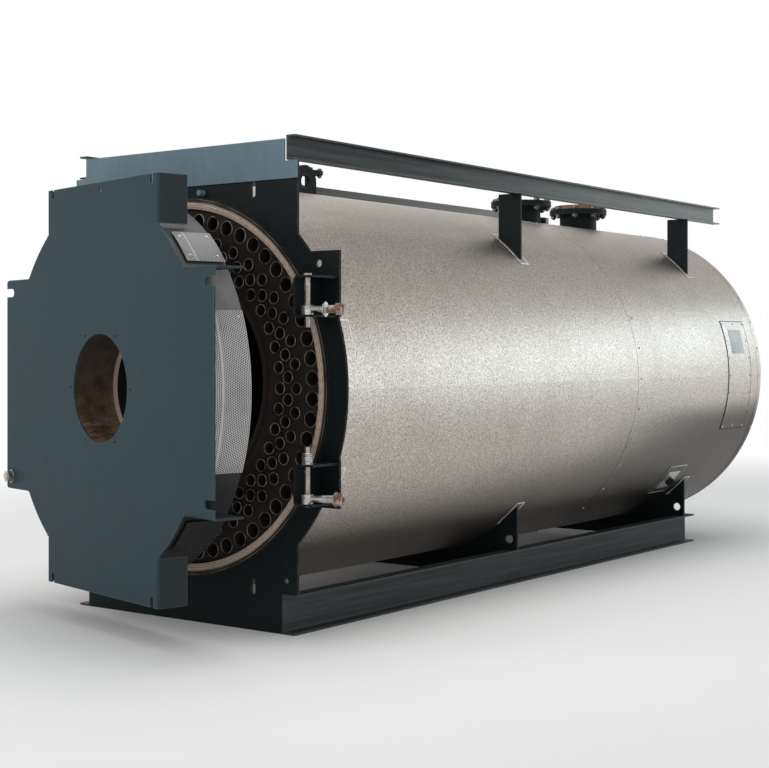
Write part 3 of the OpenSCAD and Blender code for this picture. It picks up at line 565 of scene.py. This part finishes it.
def make_finishes(tints):
    """Every finish by name."""
    rust = tuple(tints.rust)
    zinc = tuple(tints.zinc)
    soot = tuple(tints.soot)
    trim = bpy.context.scene.boiler_trim
    tube_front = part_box("inner_tubes")[0].y
    return {
        "door_paint": painted("door_paint", tuple(tints.door), dust=0.06, gloss=0.10, edge_highlight=0.6,
                              flank=tuple(tints.flank)),
        "plate_paint": painted("plate_paint", tuple(tints.plate), sheen=0.52, dust=0.05, gloss=0.10,
                               edge_highlight=0.35),
        # The header's lighter colour is painted light.
        "header_paint": painted("header_paint", tuple(tints.header), dust=0.16),
        "rail_paint": painted("rail_paint", tuple(tints.rails), sheen=0.46, gloss=0.16, edge_highlight=0.5,
                              streaks=0.10),
        # The top rails lighten towards the rear as painted light.
        "top_rail_paint": painted("top_rail_paint", tuple(tints.rails), sheen=0.46, gloss=0.16, edge_highlight=0.5,
                                  streaks=0.16, painted_rear_light=0.72),
        "jacket_metal": jacket_metal("jacket_metal", tuple(tints.jacket)),
        "end_metal": jacket_metal("end_metal", tuple(tints.jacket), shade_belly_and_rear=False),
        "bright_sheet": sheet_metal("bright_sheet", (0.74, 0.73, 0.70), rough=0.30),
        "drum_sheet": sheet_metal("drum_sheet", tuple(tints.drum), rough=0.42, metal=0.35, shade_low_and_high=True),
        "guard_sheet": perforated("guard_sheet", (0.54, 0.54, 0.53), trim.hole_pitch, trim.hole_r),
        "zinc_plate": zinc_plate("zinc_plate", zinc, rust, 0.18),
        "upper_nut_zinc": zinc_plate("upper_nut_zinc", zinc, rust, 0.44, bolt_pin("upper"), 0.085),
        "lower_nut_zinc": zinc_plate("lower_nut_zinc", zinc, rust, 0.44, bolt_pin("lower"), 0.1225),
        "hinge_nut_zinc": zinc_plate("hinge_nut_zinc", zinc, rust, 0.26),
        "dark_bolt": zinc_plate("dark_bolt", (0.17, 0.165, 0.16), rust, 0.14),
        "worn_pin": zinc_plate("worn_pin", (0.44, 0.39, 0.35), rust, 0.10),
        "label_metal": sheet_metal("label_metal", (0.46, 0.49, 0.47), rough=0.5, metal=0.2),
        "highlight_bead": highlight_bead("highlight_bead"),
        "rolled_rim": rolled_rim("rolled_rim"),
        "fired_steel": fired_steel("fired_steel", soot, rust),
        "seat_steel": fired_steel("seat_steel", soot, rust, turned=True),
        "tube_steel": fired_steel("tube_steel", soot, rust, bright_to=tube_front),
        "rope_fibre": rope_fibre("rope_fibre", tuple(tints.rope), trim.strands),
        "refractory": cast_refractory("refractory", tuple(tints.refractory)),
        "board": hard_board("board"),
    }


NODE_FINISH = {
    "door_paint": ("door_plate", "hinge_lugs"),
    "plate_paint": ("front_plate", "posts_middle", "posts_rear", "saddles", "brackets_upper",
                    "brackets_lower", "flow_nozzle", "return_nozzle", "safety_nozzle", "sensor_pocket",
                    "lifting_lug", "flue_outlet"),
    "header_paint": ("front_header", "stop_pegs"),
    "rail_paint": ("base_rail_left", "base_rail_right"),
    "top_rail_paint": ("top_rail_left", "top_rail_right"),
    "jacket_metal": ("jacket_front", "jacket_rear", "cleaning_hatch"),
    "end_metal": ("jacket_end",),
    "drum_sheet": ("door_drum",),
    "guard_sheet": ("door_guards",),
    "zinc_plate": ("pin_washers", "swing_bolt_upper", "swing_bolt_lower", "hinge_bolt",
                   "lift_washer_upper", "lift_washer_lower"),
    "upper_nut_zinc": ("swing_nut_upper",),
    "lower_nut_zinc": ("swing_nut_lower",),
    "hinge_nut_zinc": ("hinge_nut",),
    "worn_pin": ("hinge_pins",),
    "fired_steel": ("vessel_shell_rear", "tube_sheet", "rear_tube_sheet", "furnace_tube"),
    "seat_steel": ("vessel_shell", "gasket_seat"),
    "tube_steel": ("outer_tubes", "inner_tubes"),
    "rope_fibre": ("gasket_rope",),
    "refractory": ("door_insulation",),
    "board": ("return_cover",),
}


# Mesh building


class Shape:
    """Vertices and faces gathered for one piece."""

    def __init__(self):
        self.points = []
        self.faces = []

    def add(self, points, faces):
        start = len(self.points)
        self.points.extend(Vector(p) for p in points)
        self.faces.extend([start + i for i in face] for face in faces)

    def piece(self, name, finish, body, slot, smooth=40.0):
        """Makes the piece, gives it its finish and lets it ride on a body."""
        mesh = bpy.data.meshes.new(name)
        mesh.from_pydata(self.points, [], self.faces)
        mesh.validate()
        mesh.materials.append(bpy.data.materials[finish])
        made = bpy.data.objects.new(name, mesh)
        bpy.context.scene.collection.objects.link(made)
        if smooth:
            mesh.shade_smooth()
            mesh.set_sharp_from_angle(angle=math.radians(smooth))
        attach(made, body)
        return made


def ring_faces(count, rows, closed_rows=False):
    """Faces of a grid of rows that close round after count points."""
    faces = []
    for row in range(rows if closed_rows else rows - 1):
        upper = ((row + 1) % rows) * count
        for i in range(count):
            j = (i + 1) % count
            faces.append((row * count + i, row * count + j, upper + j, upper + i))
    return faces


def capped_faces(count, rows):
    """Faces of a grid of closed rows, with a cap on the first row and on the last."""
    last = (rows - 1) * count
    caps = [tuple(reversed(range(count))), tuple(range(last, last + count))]
    return ring_faces(count, rows) + caps


def round_axis(radius, angle, y):
    """A point at a radius and an angle round the boiler's axis."""
    return (radius * math.cos(angle), y, AXIS_Z + radius * math.sin(angle))


def lathe(profile, sides, matrix):
    """A closed turned form whose profile holds radius and height from the axis out and back."""
    points = []
    for radius, height in profile:
        for i in range(sides):
            a = 2 * math.pi * i / sides
            points.append(matrix @ Vector((radius * math.cos(a), radius * math.sin(a), height)))
    return points, capped_faces(sides, len(profile))


def nut_form(across, height, matrix):
    """A hexagon nut with turned chamfers and a countersunk end."""
    corner = across / 2 / math.cos(math.pi / 6)
    chamfer = corner - across / 2 * 0.94
    flat = corner - chamfer
    slope = chamfer * 0.6
    profile = [(across * 0.28, 0.0), (flat, 0.0), (corner, slope), (corner, height - slope),
               (flat, height), (across * 0.36, height), (across * 0.31, height - 0.0015)]
    return lathe(profile, 6, matrix)


def screw_head(radius, matrix):
    """A low domed screw head on a flat washer."""
    outline = ((1.35, 0.0), (1.35, 0.16), (1.0, 0.18), (0.97, 0.45), (0.7, 0.68), (0.30, 0.78))
    return lathe([(radius * out, radius * up) for out, up in outline], 14, matrix)


def jacket_frame(angle, y, out=0.0):
    """A frame on the jacket whose Z points out, at an angle up from the right flank."""
    normal = Vector((math.cos(angle), 0.0, math.sin(angle)))
    along = Vector((0.0, 1.0, 0.0))
    across = along.cross(normal)
    matrix = Matrix((across, along, normal)).transposed().to_4x4()
    matrix.translation = Vector((0.0, y, AXIS_Z)) + normal * (JACKET_R + out)
    return matrix


def curved_patch(low, high, y_low, y_high, base, top, steps):
    """A sheet bent to the jacket between two angles, from radius base to top."""
    points = []
    for i in range(steps + 1):
        a = low + (high - low) * i / steps
        for radius, y in ((base, y_low), (top, y_low), (top, y_high), (base, y_high)):
            points.append(round_axis(radius, a, y))
    return points, capped_faces(4, steps + 1)


def hatch_reach():
    """The angle from the hatch's middle to its upper edge."""
    return math.asin((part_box("cleaning_hatch")[1].z - AXIS_Z) / (JACKET_R + 0.002))


def weld_bead(path, radius, ripple=0.006):
    """A rippled bead along a path of points."""
    spots = []
    for start, end in zip(path, path[1:]):
        start, end = Vector(start), Vector(end)
        count = max(1, round((end - start).length / ripple))
        spots.extend(start.lerp(end, i / count) for i in range(count))
    spots.append(Vector(path[-1]))
    sides = 6
    points = []
    for i, spot in enumerate(spots):
        ahead = (spots[min(i + 1, len(spots) - 1)] - spots[max(i - 1, 0)]).normalized()
        side = ahead.orthogonal().normalized()
        up = ahead.cross(side)
        swell = radius * (1.0 if i % 2 else 0.80)
        if i in (0, len(spots) - 1):
            swell = radius * 0.35
        for k in range(sides):
            a = 2 * math.pi * k / sides
            points.append(spot + (side * math.cos(a) + up * math.sin(a)) * swell)
    return points, capped_faces(sides, len(spots))


def upright(x, y, z, axis=(0.0, 0.0, 1.0)):
    """A frame at a point whose Z lies along an axis."""
    matrix = Vector(axis).to_track_quat("Z", "Y").to_matrix().to_4x4()
    matrix.translation = (x, y, z)
    return matrix


# Operators


class BoilerOperator:
    """What the boiler's operators share."""

    bl_options = {"REGISTER"}

    def execute(self, context):
        self.make(context.scene)
        return {"FINISHED"}


class BOILER_OT_stage(BoilerOperator, bpy.types.Operator):
    """Make the floor, the lights and the camera"""

    bl_idname = "boiler.stage"
    bl_label = "Stage"

    def make(self, scene):
        stage = scene.boiler_stage
        scene.view_settings.view_transform = "Standard"
        self.make_camera(scene, stage)
        self.make_world(scene)
        self.make_floor()
        self.make_lamp("side_light", (4.4, 8.0, 1.98), (0.6, 2.6, 1.1), (5.2, 0.5), stage.key, roll=0.52,
                       colour=(0.70, 0.89, 1.0))
        self.make_lamp("front_light", (-3.4, -6.5, 4.2), (0.0, -0.4, 1.0), (3.6, 2.6), stage.fill)
        self.make_lamp("top_light", (0.4, 1.2, 6.4), (0.0, 1.6, 1.0), (3.0, 6.0), stage.top)

    @staticmethod
    def make_camera(scene, stage):
        data = bpy.data.cameras.new("camera")
        camera = bpy.data.objects.new("camera", data)
        scene.collection.objects.link(camera)
        camera.location = stage.camera_at
        camera.rotation_euler = (math.pi / 2, 0.0, stage.camera_turn)
        data.sensor_width = 36.0
        data.lens = stage.lens
        data.shift_x = 0.0007
        data.shift_y = stage.lift
        data.clip_end = 200.0
        scene.camera = camera

    @staticmethod
    def make_world(scene):
        """Soft light that is white near the horizon and dimmer overhead."""
        studio = World("studio")
        height = studio.split(studio.node("ShaderNodeTexCoord", output="Generated"))[2]
        stops = ((0.0, 1.0), (0.23, 1.0), (0.34, 0.74), (0.52, 0.52), (0.75, 0.40), (1.0, 0.40))
        studio.set(color=studio.node("ShaderNodeValToRGB", {"stops": stops}, {0: height}))
        scene.world = studio.material

    @staticmethod
    def make_floor():
        """A pale floor that turns to a glowing white backdrop far from the boiler."""
        mesh = bpy.data.meshes.new("floor")
        half = 60.0
        corners = [(-half, -half, 0), (half, -half, 0), (half, half, 0), (-half, half, 0)]
        mesh.from_pydata(corners, [], [(0, 1, 2, 3)])
        floor = bpy.data.objects.new("floor", mesh)
        bpy.context.scene.collection.objects.link(floor)
        finish = Finish("pale_floor")
        far = finish.distance((2.2, 2.8, 0.0)).smooth(4.0, 9.5)
        cloud = finish.noise(0.8, 3.0)
        pale = finish.mix(cloud, (0.92, 0.92, 0.92), (0.95, 0.95, 0.95))
        finish.set(base_color=finish.mix(far, pale, (0.0, 0.0, 0.0)), roughness=0.8, specular_ior_level=0.0)
        finish.set(emission_color=finish.mix(far, (0.0, 0.0, 0.0), (1.0, 1.0, 1.0)), emission_strength=1.0)
        mesh.materials.append(finish.material)

    @staticmethod
    def make_lamp(name, at, towards, size, power, roll=0.0, colour=(1.0, 1.0, 1.0)):
        data = bpy.data.lights.new(name, "AREA")
        data.shape = "RECTANGLE"
        data.size, data.size_y = size
        data.energy = power
        data.color = colour
        lamp = bpy.data.objects.new(name, data)
        bpy.context.scene.collection.objects.link(lamp)
        lamp.location = at
        aim = (Vector(towards) - Vector(at)).to_track_quat("-Z", "Y").to_matrix()
        lamp.rotation_euler = (aim @ Matrix.Rotation(roll, 3, "Z")).to_euler()


class BOILER_OT_finishes(BoilerOperator, bpy.types.Operator):
    """Give every solid its finish"""

    bl_idname = "boiler.finishes"
    bl_label = "Finishes"

    def make(self, scene):
        finishes = make_finishes(scene.boiler_finishes)
        for name, nodes in NODE_FINISH.items():
            for node in nodes:
                mesh = NODES[node].data
                mesh.materials.clear()
                mesh.materials.append(finishes[name])
        missing = set(NODES) - {node for nodes in NODE_FINISH.values() for node in nodes}
        if missing:
            raise RuntimeError(f"no finish for {sorted(missing)}")


class BOILER_OT_rope(BoilerOperator, bpy.types.Operator):
    """Braid the rope seal in its groove"""

    bl_idname = "boiler.rope"
    bl_label = "Rope seal"

    def make(self, scene):
        low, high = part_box("gasket_rope")
        depth = high.y - low.y
        strands = scene.boiler_trim.strands
        steps, across = 1500, 22
        shape = Shape()
        points = []
        for i in range(steps):
            turn = 2 * math.pi * i / steps
            for k in range(across):
                share = k / (across - 1)
                crown = math.sin(math.pi * share) ** 0.35
                hand = 1 if int(share * strands) % 2 else -1
                weave = math.sin(2 * math.pi * strands * share + i * 0.55 * hand)
                ridge = abs(math.sin(math.pi * strands * share))
                lift = depth * crown * (0.66 + 0.27 * ridge + 0.07 * weave)
                points.append(round_axis(ROPE_R - ROPE_WIDTH * share, turn, high.y - max(lift, 0.0)))
        shape.add(points, ring_faces(across, steps, closed_rows=True))
        rope = shape.piece("rope_seal", "rope_fibre", "boiler", "rope", smooth=0)
        rope.data.shade_smooth()
        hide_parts("gasket_rope")


class BOILER_OT_tube_rims(BoilerOperator, bpy.types.Operator):
    """Roll the lips of the tubes in the tube sheet"""

    bl_idname = "boiler.tube_rims"
    bl_label = "Tube rims"

    def make(self, scene):
        shape = Shape()
        for node in ("outer_tubes", "inner_tubes"):
            for middle_at, radius in self.mouths(node):
                self.lip(shape, middle_at, radius)
        shape.piece("tube_rims", "rolled_rim", "boiler", "fired_steel", smooth=80.0)

    @staticmethod
    def mouths(node):
        """The middle and the radius of each tube's front end."""
        mesh = NODES[node].data
        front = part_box(node)[0].y + 0.0005
        group = {v.index: v.index for v in mesh.vertices if v.co.y < front}

        def root(i):
            while group[i] != i:
                i = group[i]
            return i

        for edge in mesh.edges:
            a, b = edge.vertices
            if a in group and b in group:
                group[root(a)] = root(b)
        ends = {}
        for i in group:
            ends.setdefault(root(i), []).append(mesh.vertices[i].co)
        found = {}
        for points in ends.values():
            middle_at = sum(points, Vector()) / len(points)
            radius = max((point - middle_at).length for point in points)
            key = (round(middle_at.x, 3), round(middle_at.z, 3))
            if radius > found.get(key, (None, 0.0))[1]:
                found[key] = (middle_at, radius)
        return found.values()

    @staticmethod
    def lip(shape, middle_at, radius):
        """A rounded ring on a tube's end."""
        sides, round_sides, thick = 30, 6, 0.0016
        points = []
        for i in range(sides):
            a = 2 * math.pi * i / sides
            for k in range(round_sides):
                b = 2 * math.pi * k / round_sides
                reach = radius - thick * 0.6 + thick * math.cos(b)
                out = Vector((reach * math.cos(a), thick * math.sin(b), reach * math.sin(a)))
                points.append(middle_at + out)
        shape.add(points, ring_faces(round_sides, sides, closed_rows=True))


class BOILER_OT_threads(BoilerOperator, bpy.types.Operator):
    """Cut the threads on the swing bolts and the hinge bolt"""

    bl_idname = "boiler.threads"
    bl_label = "Threads"

    def make(self, scene):
        pitch = scene.boiler_trim.thread_pitch
        for level in ("upper", "lower"):
            pin = bolt_pin(level)
            tip = self.tip_of(f"swing_bolt_{level}", pin)
            self.thread(f"thread_{level}", pin, tip, 0.45, pitch, f"{level}_bolt", f"{level}_nut_zinc")
        pin = DOOR_PIN.copy()
        pin.z = middle("hinge_bolt").z
        tip = self.tip_of("hinge_bolt", pin)
        self.thread("thread_hinge", pin, tip, 0.72, pitch, "door", "hinge_nut_zinc")

    @staticmethod
    def tip_of(node, pin):
        """The middle of a bolt's free end."""
        mesh = NODES[node].data
        reach = max((v.co - pin).length for v in mesh.vertices)
        far = [v.co for v in mesh.vertices if (v.co - pin).length > reach - 0.0012]
        return sum(far, Vector()) / len(far)

    @staticmethod
    def thread(name, pin, tip, start, pitch, body, finish):
        """A helical ridge from a share of the bolt's length to its end."""
        axis = (tip - pin).normalized()
        length = (tip - pin).length * (1.0 - start) - 0.001
        matrix = upright(*(tip - axis * length), axis)
        sides, fine = 28, 8
        core, depth = 0.0146, 0.0011
        rows = int(length / pitch * fine)
        points = []
        for row in range(rows + 1):
            height = length * row / rows
            for i in range(sides):
                turn = i / sides
                ridge = abs(((height / pitch - turn) % 1.0) - 0.5) * 2
                radius = core + depth * ridge
                a = 2 * math.pi * turn
                points.append(matrix @ Vector((radius * math.cos(a), radius * math.sin(a), height)))
        shape = Shape()
        shape.add(points, capped_faces(sides, rows + 1))
        shape.piece(name, finish, body, "zinc_steel", smooth=50.0)


class BOILER_OT_pin_washers(BoilerOperator, bpy.types.Operator):
    """Stack the thrust washers on the lower pins"""

    bl_idname = "boiler.pin_washers"
    bl_label = "Pin washers"

    def make(self, scene):
        low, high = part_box("pin_washers")
        outer = (high.y - low.y) / 2
        bore = outer * 0.52
        count = 7
        pitch = (high.z - low.z) / count
        edge = pitch * 0.22
        thick = pitch * 0.86
        shape = Shape()
        for side in (low.x + outer, high.x - outer):
            for i in range(count):
                radius = outer * (1.0 - 0.05 * (i % 2) - 0.03 * (i % 3))
                profile = [(bore, 0.0), (radius - edge, 0.0), (radius, edge), (radius, thick - edge),
                           (radius - edge, thick), (bore, thick)]
                foot = upright(side, (low.y + high.y) / 2, low.z + i * pitch)
                shape.add(*lathe(profile, 40, foot))
        stack = shape.piece("washer_stack", "zinc_plate", "boiler", "zinc_steel", smooth=30.0)
        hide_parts("pin_washers")


class BOILER_OT_flange_bolts(BoilerOperator, bpy.types.Operator):
    """Bolt the flanges on the crown"""

    bl_idname = "boiler.flange_bolts"
    bl_label = "Flange bolts"

    def make(self, scene):
        shape = Shape()
        for name, thick in (("flow_flange", 0.030), ("return_flange", 0.030), ("safety_flange", 0.018)):
            mount = MOUNTS[name]
            centre = Vector(mount["pos_m"])
            count = mount["dims"]["count"]
            ring = mount["dims"]["pcd_mm"] / 2000
            hole = mount["dims"]["hole_r_mm"] / 1000
            for i in range(count):
                a = 2 * math.pi * (i + 0.5) / count
                top = centre + Vector((ring * math.cos(a), ring * math.sin(a), 0.0))
                self.stud(shape, top, hole * 0.9, thick)
        shape.piece("flange_bolts", "dark_bolt", "boiler", "zinc_steel")

    @staticmethod
    def stud(shape, top, radius, thick):
        """A stud through a flange with a nut and a washer on each side."""
        rise = min(0.026, radius * 2.2)
        low = top.z - thick
        end = thick + rise
        shank = [(radius * 0.4, -rise * 1.15), (radius, -rise), (radius, end - 0.002), (radius * 0.6, end)]
        shape.add(*lathe(shank, 16, upright(top.x, top.y, low)))
        washer_t = 0.003
        washer_r = radius * 2.1
        washer = [(radius, 0.0), (washer_r, 0.0), (washer_r, washer_t), (radius, washer_t)]
        for at, axis in ((top.z, (0, 0, 1)), (low, (0, 0, -1))):
            shape.add(*lathe(washer, 20, upright(top.x, top.y, at, axis)))
            nut_foot = upright(top.x, top.y, at + washer_t * axis[2], axis)
            shape.add(*nut_form(radius * 3.3, radius * 1.5, nut_foot))


class BOILER_OT_jacket_trim(BoilerOperator, bpy.types.Operator):
    """Lay the seam bands, collars and patches on the jacket"""

    bl_idname = "boiler.jacket_trim"
    bl_label = "Jacket trim"

    def make(self, scene):
        sheet = scene.boiler_trim.sheet
        self.bands(sheet)
        self.collars(sheet)
        self.drain_patch(sheet)
        self.hatch_seal()
        self.screws(scene.boiler_trim)

    @staticmethod
    def bands(sheet):
        """Lap bands at the seam and at the rear edge."""
        shape = Shape()
        half = 0.023
        top = JACKET_R + sheet * 0.6
        for y in (SEAM_Y, JACKET_REAR - 0.026):
            shape.add(*curved_patch(0.0, 2 * math.pi, y - half, y + half, TRIM_FOOT, top, 180))
        shape.piece("jacket_bands", "jacket_metal", "boiler", "jacket_sheet", smooth=30.0)

    def collars(self, sheet):
        """Cover strips where posts and saddles meet the jacket, and small ones behind the front plate."""
        shape, rim = Shape(), Shape()
        half = 0.036
        spans = []
        for node in ("posts_middle", "posts_rear"):
            low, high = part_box(node)
            y = (low.y + high.y) / 2
            start = math.acos((high.x + 0.020) / JACKET_R)
            end = math.acos((high.x - 0.150) / JACKET_R)
            spans.append((start, end, y - half, y + half))
        saddle_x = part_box("saddles")[1].x
        for y in (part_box("saddles")[0].y + 0.006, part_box("saddles")[1].y - 0.006):
            start = -math.acos((saddle_x - 0.10) / JACKET_R)
            end = -math.acos((saddle_x + 0.018) / JACKET_R)
            spans.append((start, end, y - half, y + half))
        for level in (0.27, -0.41):
            spans.append((level - 0.05, level + 0.05, PLATE_BACK, 0.075))
        for start, end, front, rear in spans:
            self.framed_patch(shape, rim, start, end, front, rear, sheet)
            self.framed_patch(shape, rim, math.pi - end, math.pi - start, front, rear, sheet)
        shape.piece("jacket_collars", "jacket_metal", "boiler", "jacket_sheet", smooth=30.0)
        # The rims carry a painted highlight in near white.
        rim.piece("collar_rims", "highlight_bead", "boiler", "jacket_sheet", smooth=30.0)

    @staticmethod
    def framed_patch(shape, rim, low, high, front, rear, sheet):
        """A patch bent to the jacket, with its cut edges turned up round it."""
        top, width = JACKET_R + sheet, 0.0052
        rim_top = top + 0.001
        turn = width / JACKET_R
        shape.add(*curved_patch(low, high, front, rear, TRIM_FOOT, top, 12))
        for y in (front, rear - width):
            rim.add(*curved_patch(low, high, y, y + width, TRIM_FOOT, rim_top, 12))
        for a in (low, high - turn):
            rim.add(*curved_patch(a, a + turn, front, rear, TRIM_FOOT, rim_top, 2))

    def drain_patch(self, sheet):
        """A patch low on the right, with a bright cover and the drain's stub on it."""
        y, a = 3.31, math.radians(-43.0)
        shape, rim = Shape(), Shape()
        self.framed_patch(shape, rim, a - 0.125, a + 0.125, y - 0.11, y + 0.11, sheet)
        cover_top = JACKET_R + sheet * 2
        rim.add(*curved_patch(a - 0.075, a + 0.075, y - 0.07, y + 0.07, JACKET_R, cover_top, 8))
        shape.piece("drain_patch", "jacket_metal", "boiler", "jacket_sheet", smooth=30.0)
        rim.piece("drain_cover", "bright_sheet", "boiler", "jacket_sheet", smooth=30.0)
        stub = Shape()
        profile = [(0.014, 0.010), (0.014, 0.030), (0.021, 0.032), (0.024, 0.030), (0.024, -0.004),
                   (0.012, -0.004)]
        stub.add(*lathe(profile, 24, jacket_frame(a, y)))
        stub.piece("drain_stub", "plate_paint", "boiler", "frame_paint")

    @staticmethod
    def hatch_seal():
        """A dark seal squeezed out round the hatch."""
        low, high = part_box("cleaning_hatch")
        width, top = 0.0040, JACKET_R + 0.0026
        reach = hatch_reach()
        turn = width / JACKET_R
        shape = Shape()
        for y in (low.y - width, high.y):
            shape.add(*curved_patch(-reach - turn, reach + turn, y, y + width, TRIM_FOOT, top, 24))
        for a in (-reach - turn, reach):
            shape.add(*curved_patch(a, a + turn, low.y, high.y, TRIM_FOOT, top, 2))
        shape.piece("hatch_seal", "plate_paint", "boiler", "frame_paint", smooth=30.0)

    @staticmethod
    def screws(trim):
        """Screws along the seam, the rear edge, the end sheet and the hatch."""
        places = []
        count = int(2 * math.pi / (trim.screw_pitch / JACKET_R))
        for y in (SEAM_Y + 0.011, JACKET_REAR - 0.026):
            places.extend(jacket_frame(2 * math.pi * i / count, y, trim.sheet * 0.6) for i in range(count))
        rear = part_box("jacket_end")[1].y
        end_count, end_inset = 28, 0.030
        for i in range(end_count):
            spot = round_axis(JACKET_R - end_inset, 2 * math.pi * i / end_count, rear)
            places.append(upright(*spot, (0.0, 1.0, 0.0)))
        low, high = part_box("cleaning_hatch")
        reach = hatch_reach() - 0.018
        inset = 0.016
        for i in range(7):
            for y in (low.y + inset, high.y - inset):
                places.append(jacket_frame(reach * (i / 3.0 - 1.0), y, HATCH_SKIN))
        for angle in (-reach, reach):
            places.append(jacket_frame(angle, (low.y + high.y) / 2, HATCH_SKIN))
        shape = Shape()
        for place in places:
            shape.add(*screw_head(trim.screw_r, place))
        shape.piece("jacket_screws", "zinc_plate", "boiler", "zinc_steel")


class BOILER_OT_label_plate(BoilerOperator, bpy.types.Operator):
    """Rivet a bare plate to the hatch"""

    bl_idname = "boiler.label_plate"
    bl_label = "Bare plate"

    def make(self, scene):
        low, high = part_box("cleaning_hatch")
        base = JACKET_R + HATCH_SKIN
        top = base + 0.0012
        y, a = (low.y + high.y) / 2 - 0.005, math.radians(13.0)
        shape = Shape()
        shape.add(*curved_patch(a - 0.082, a + 0.082, y - 0.085, y + 0.085, base, top, 8))
        shape.piece("bare_plate", "label_metal", "boiler", "jacket_sheet", smooth=30.0)
        rivets = Shape()
        for da in (-0.072, 0.072):
            for dy in (-0.076, 0.076):
                rivets.add(*screw_head(0.003, jacket_frame(a + da, y + dy, 0.0035)))
        rivets.piece("plate_rivets", "zinc_plate", "boiler", "zinc_steel")


class BOILER_OT_welds(BoilerOperator, bpy.types.Operator):
    """Run the weld beads of the frame"""

    bl_idname = "boiler.welds"
    bl_label = "Welds"

    def make(self, scene):
        radius = scene.boiler_trim.weld_r
        shape = Shape()
        self.bracket_welds(shape, radius)
        self.post_welds(shape, radius)
        self.saddle_welds(shape, radius)
        shape.piece("frame_welds", "plate_paint", "boiler", "frame_paint", smooth=60.0)

    @staticmethod
    def bracket_welds(shape, radius):
        """Beads round the brackets' backs on the front plate."""
        y = PLATE_FRONT
        width, corner = 0.100, 0.018
        for node in ("brackets_upper", "brackets_lower"):
            low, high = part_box(node)
            inner = high.x - width
            for side in (1, -1):
                for z in (low.z, high.z):
                    ends = [(side * (inner + corner), y, z), (side * (high.x - WELD_INSET), y, z)]
                    shape.add(*weld_bead(ends, radius))
                ends = [(side * inner, y, low.z + corner), (side * inner, y, high.z - corner)]
                shape.add(*weld_bead(ends, radius))

    @staticmethod
    def rail_weld(shape, rail, side, y, z, radius):
        """A bead across a rail."""
        low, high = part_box(rail)
        ends = [(side * (low.x + WELD_INSET), y, z), (side * (high.x - WELD_INSET), y, z)]
        shape.add(*weld_bead(ends, radius))

    def post_welds(self, shape, radius):
        """Beads where the posts meet the top rails."""
        for node in ("posts_middle", "posts_rear"):
            low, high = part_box(node)
            for side in (1, -1):
                for y in (low.y, high.y):
                    self.rail_weld(shape, "top_rail_right", side, y, high.z, radius)

    def saddle_welds(self, shape, radius):
        """Beads where the saddles stand on the base rails."""
        low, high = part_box("saddles")
        rail_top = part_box("base_rail_right")[1].z
        thick = 0.012
        for y in (low.y, low.y + thick, high.y - thick, high.y):
            for side in (1, -1):
                self.rail_weld(shape, "base_rail_right", side, y, rail_top, radius)


class BOILER_OT_door_trim(BoilerOperator, bpy.types.Operator):
    """Screw the guards to the door"""

    bl_idname = "boiler.door_trim"
    bl_label = "Door trim"

    def make(self, scene):
        turn = Matrix.Rotation(-DOOR_OPEN, 4, "Z")
        turn = Matrix.Translation(DOOR_PIN) @ turn @ Matrix.Translation(-DOOR_PIN)
        upper, lower = Shape(), Shape()
        for middle_a, half in ((0, 23), (180, 23), (45, 6), (135, 6), (225, 6), (315, 6)):
            for a in (middle_a - half + 2, middle_a + half - 2):
                for y in (DOOR_FACE + 0.060, DOOR_FACE + 0.182):
                    angle = math.radians(a)
                    out = Vector((math.cos(angle), 0.0, math.sin(angle)))
                    at = Vector((0.0, y, AXIS_Z)) + out * GUARD_R
                    shape = lower if out.z < -0.5 else upper
                    shape.add(*screw_head(0.0048, turn @ upright(*at, out)))
        upper.piece("guard_screws", "zinc_plate", "door", "zinc_steel")
        # Painted shade: the lower guard's screws get the dark frame paint, matching the shade painted on that
        # guard.
        lower.piece("shaded_guard_screws", "plate_paint", "door", "zinc_steel")


class BOILER_PT_panel(bpy.types.Panel):
    """The boiler's pieces, one button each"""

    bl_label = "Boiler"
    bl_idname = "BOILER_PT_panel"
    bl_space_type = "VIEW_3D"
    bl_region_type = "UI"
    bl_category = "Boiler"

    def draw(self, context):
        for operator in OPERATORS:
            self.layout.operator(operator.bl_idname)
        for group in (context.scene.boiler_finishes, context.scene.boiler_trim, context.scene.boiler_stage):
            box = self.layout.box()
            for name in group.__annotations__:
                box.prop(group, name)


GROUPS = {"boiler_finishes": BoilerFinishes, "boiler_trim": BoilerTrim, "boiler_stage": BoilerStage}
OPERATORS = (
    BOILER_OT_stage,
    BOILER_OT_finishes,
    BOILER_OT_rope,
    BOILER_OT_tube_rims,
    BOILER_OT_threads,
    BOILER_OT_pin_washers,
    BOILER_OT_flange_bolts,
    BOILER_OT_jacket_trim,
    BOILER_OT_label_plate,
    BOILER_OT_welds,
    BOILER_OT_door_trim,
)


def register():
    for kind in (*GROUPS.values(), *OPERATORS, BOILER_PT_panel):
        bpy.utils.register_class(kind)
    for name, kind in GROUPS.items():
        setattr(bpy.types.Scene, name, PointerProperty(type=kind))


def unregister():
    for name in GROUPS:
        delattr(bpy.types.Scene, name)
    for kind in reversed((*GROUPS.values(), *OPERATORS, BOILER_PT_panel)):
        bpy.utils.unregister_class(kind)


def main():
    register()
    for operator in OPERATORS:
        group, name = operator.bl_idname.split(".")
        getattr(getattr(bpy.ops, group), name)()


if __name__ == "__main__":
    main()
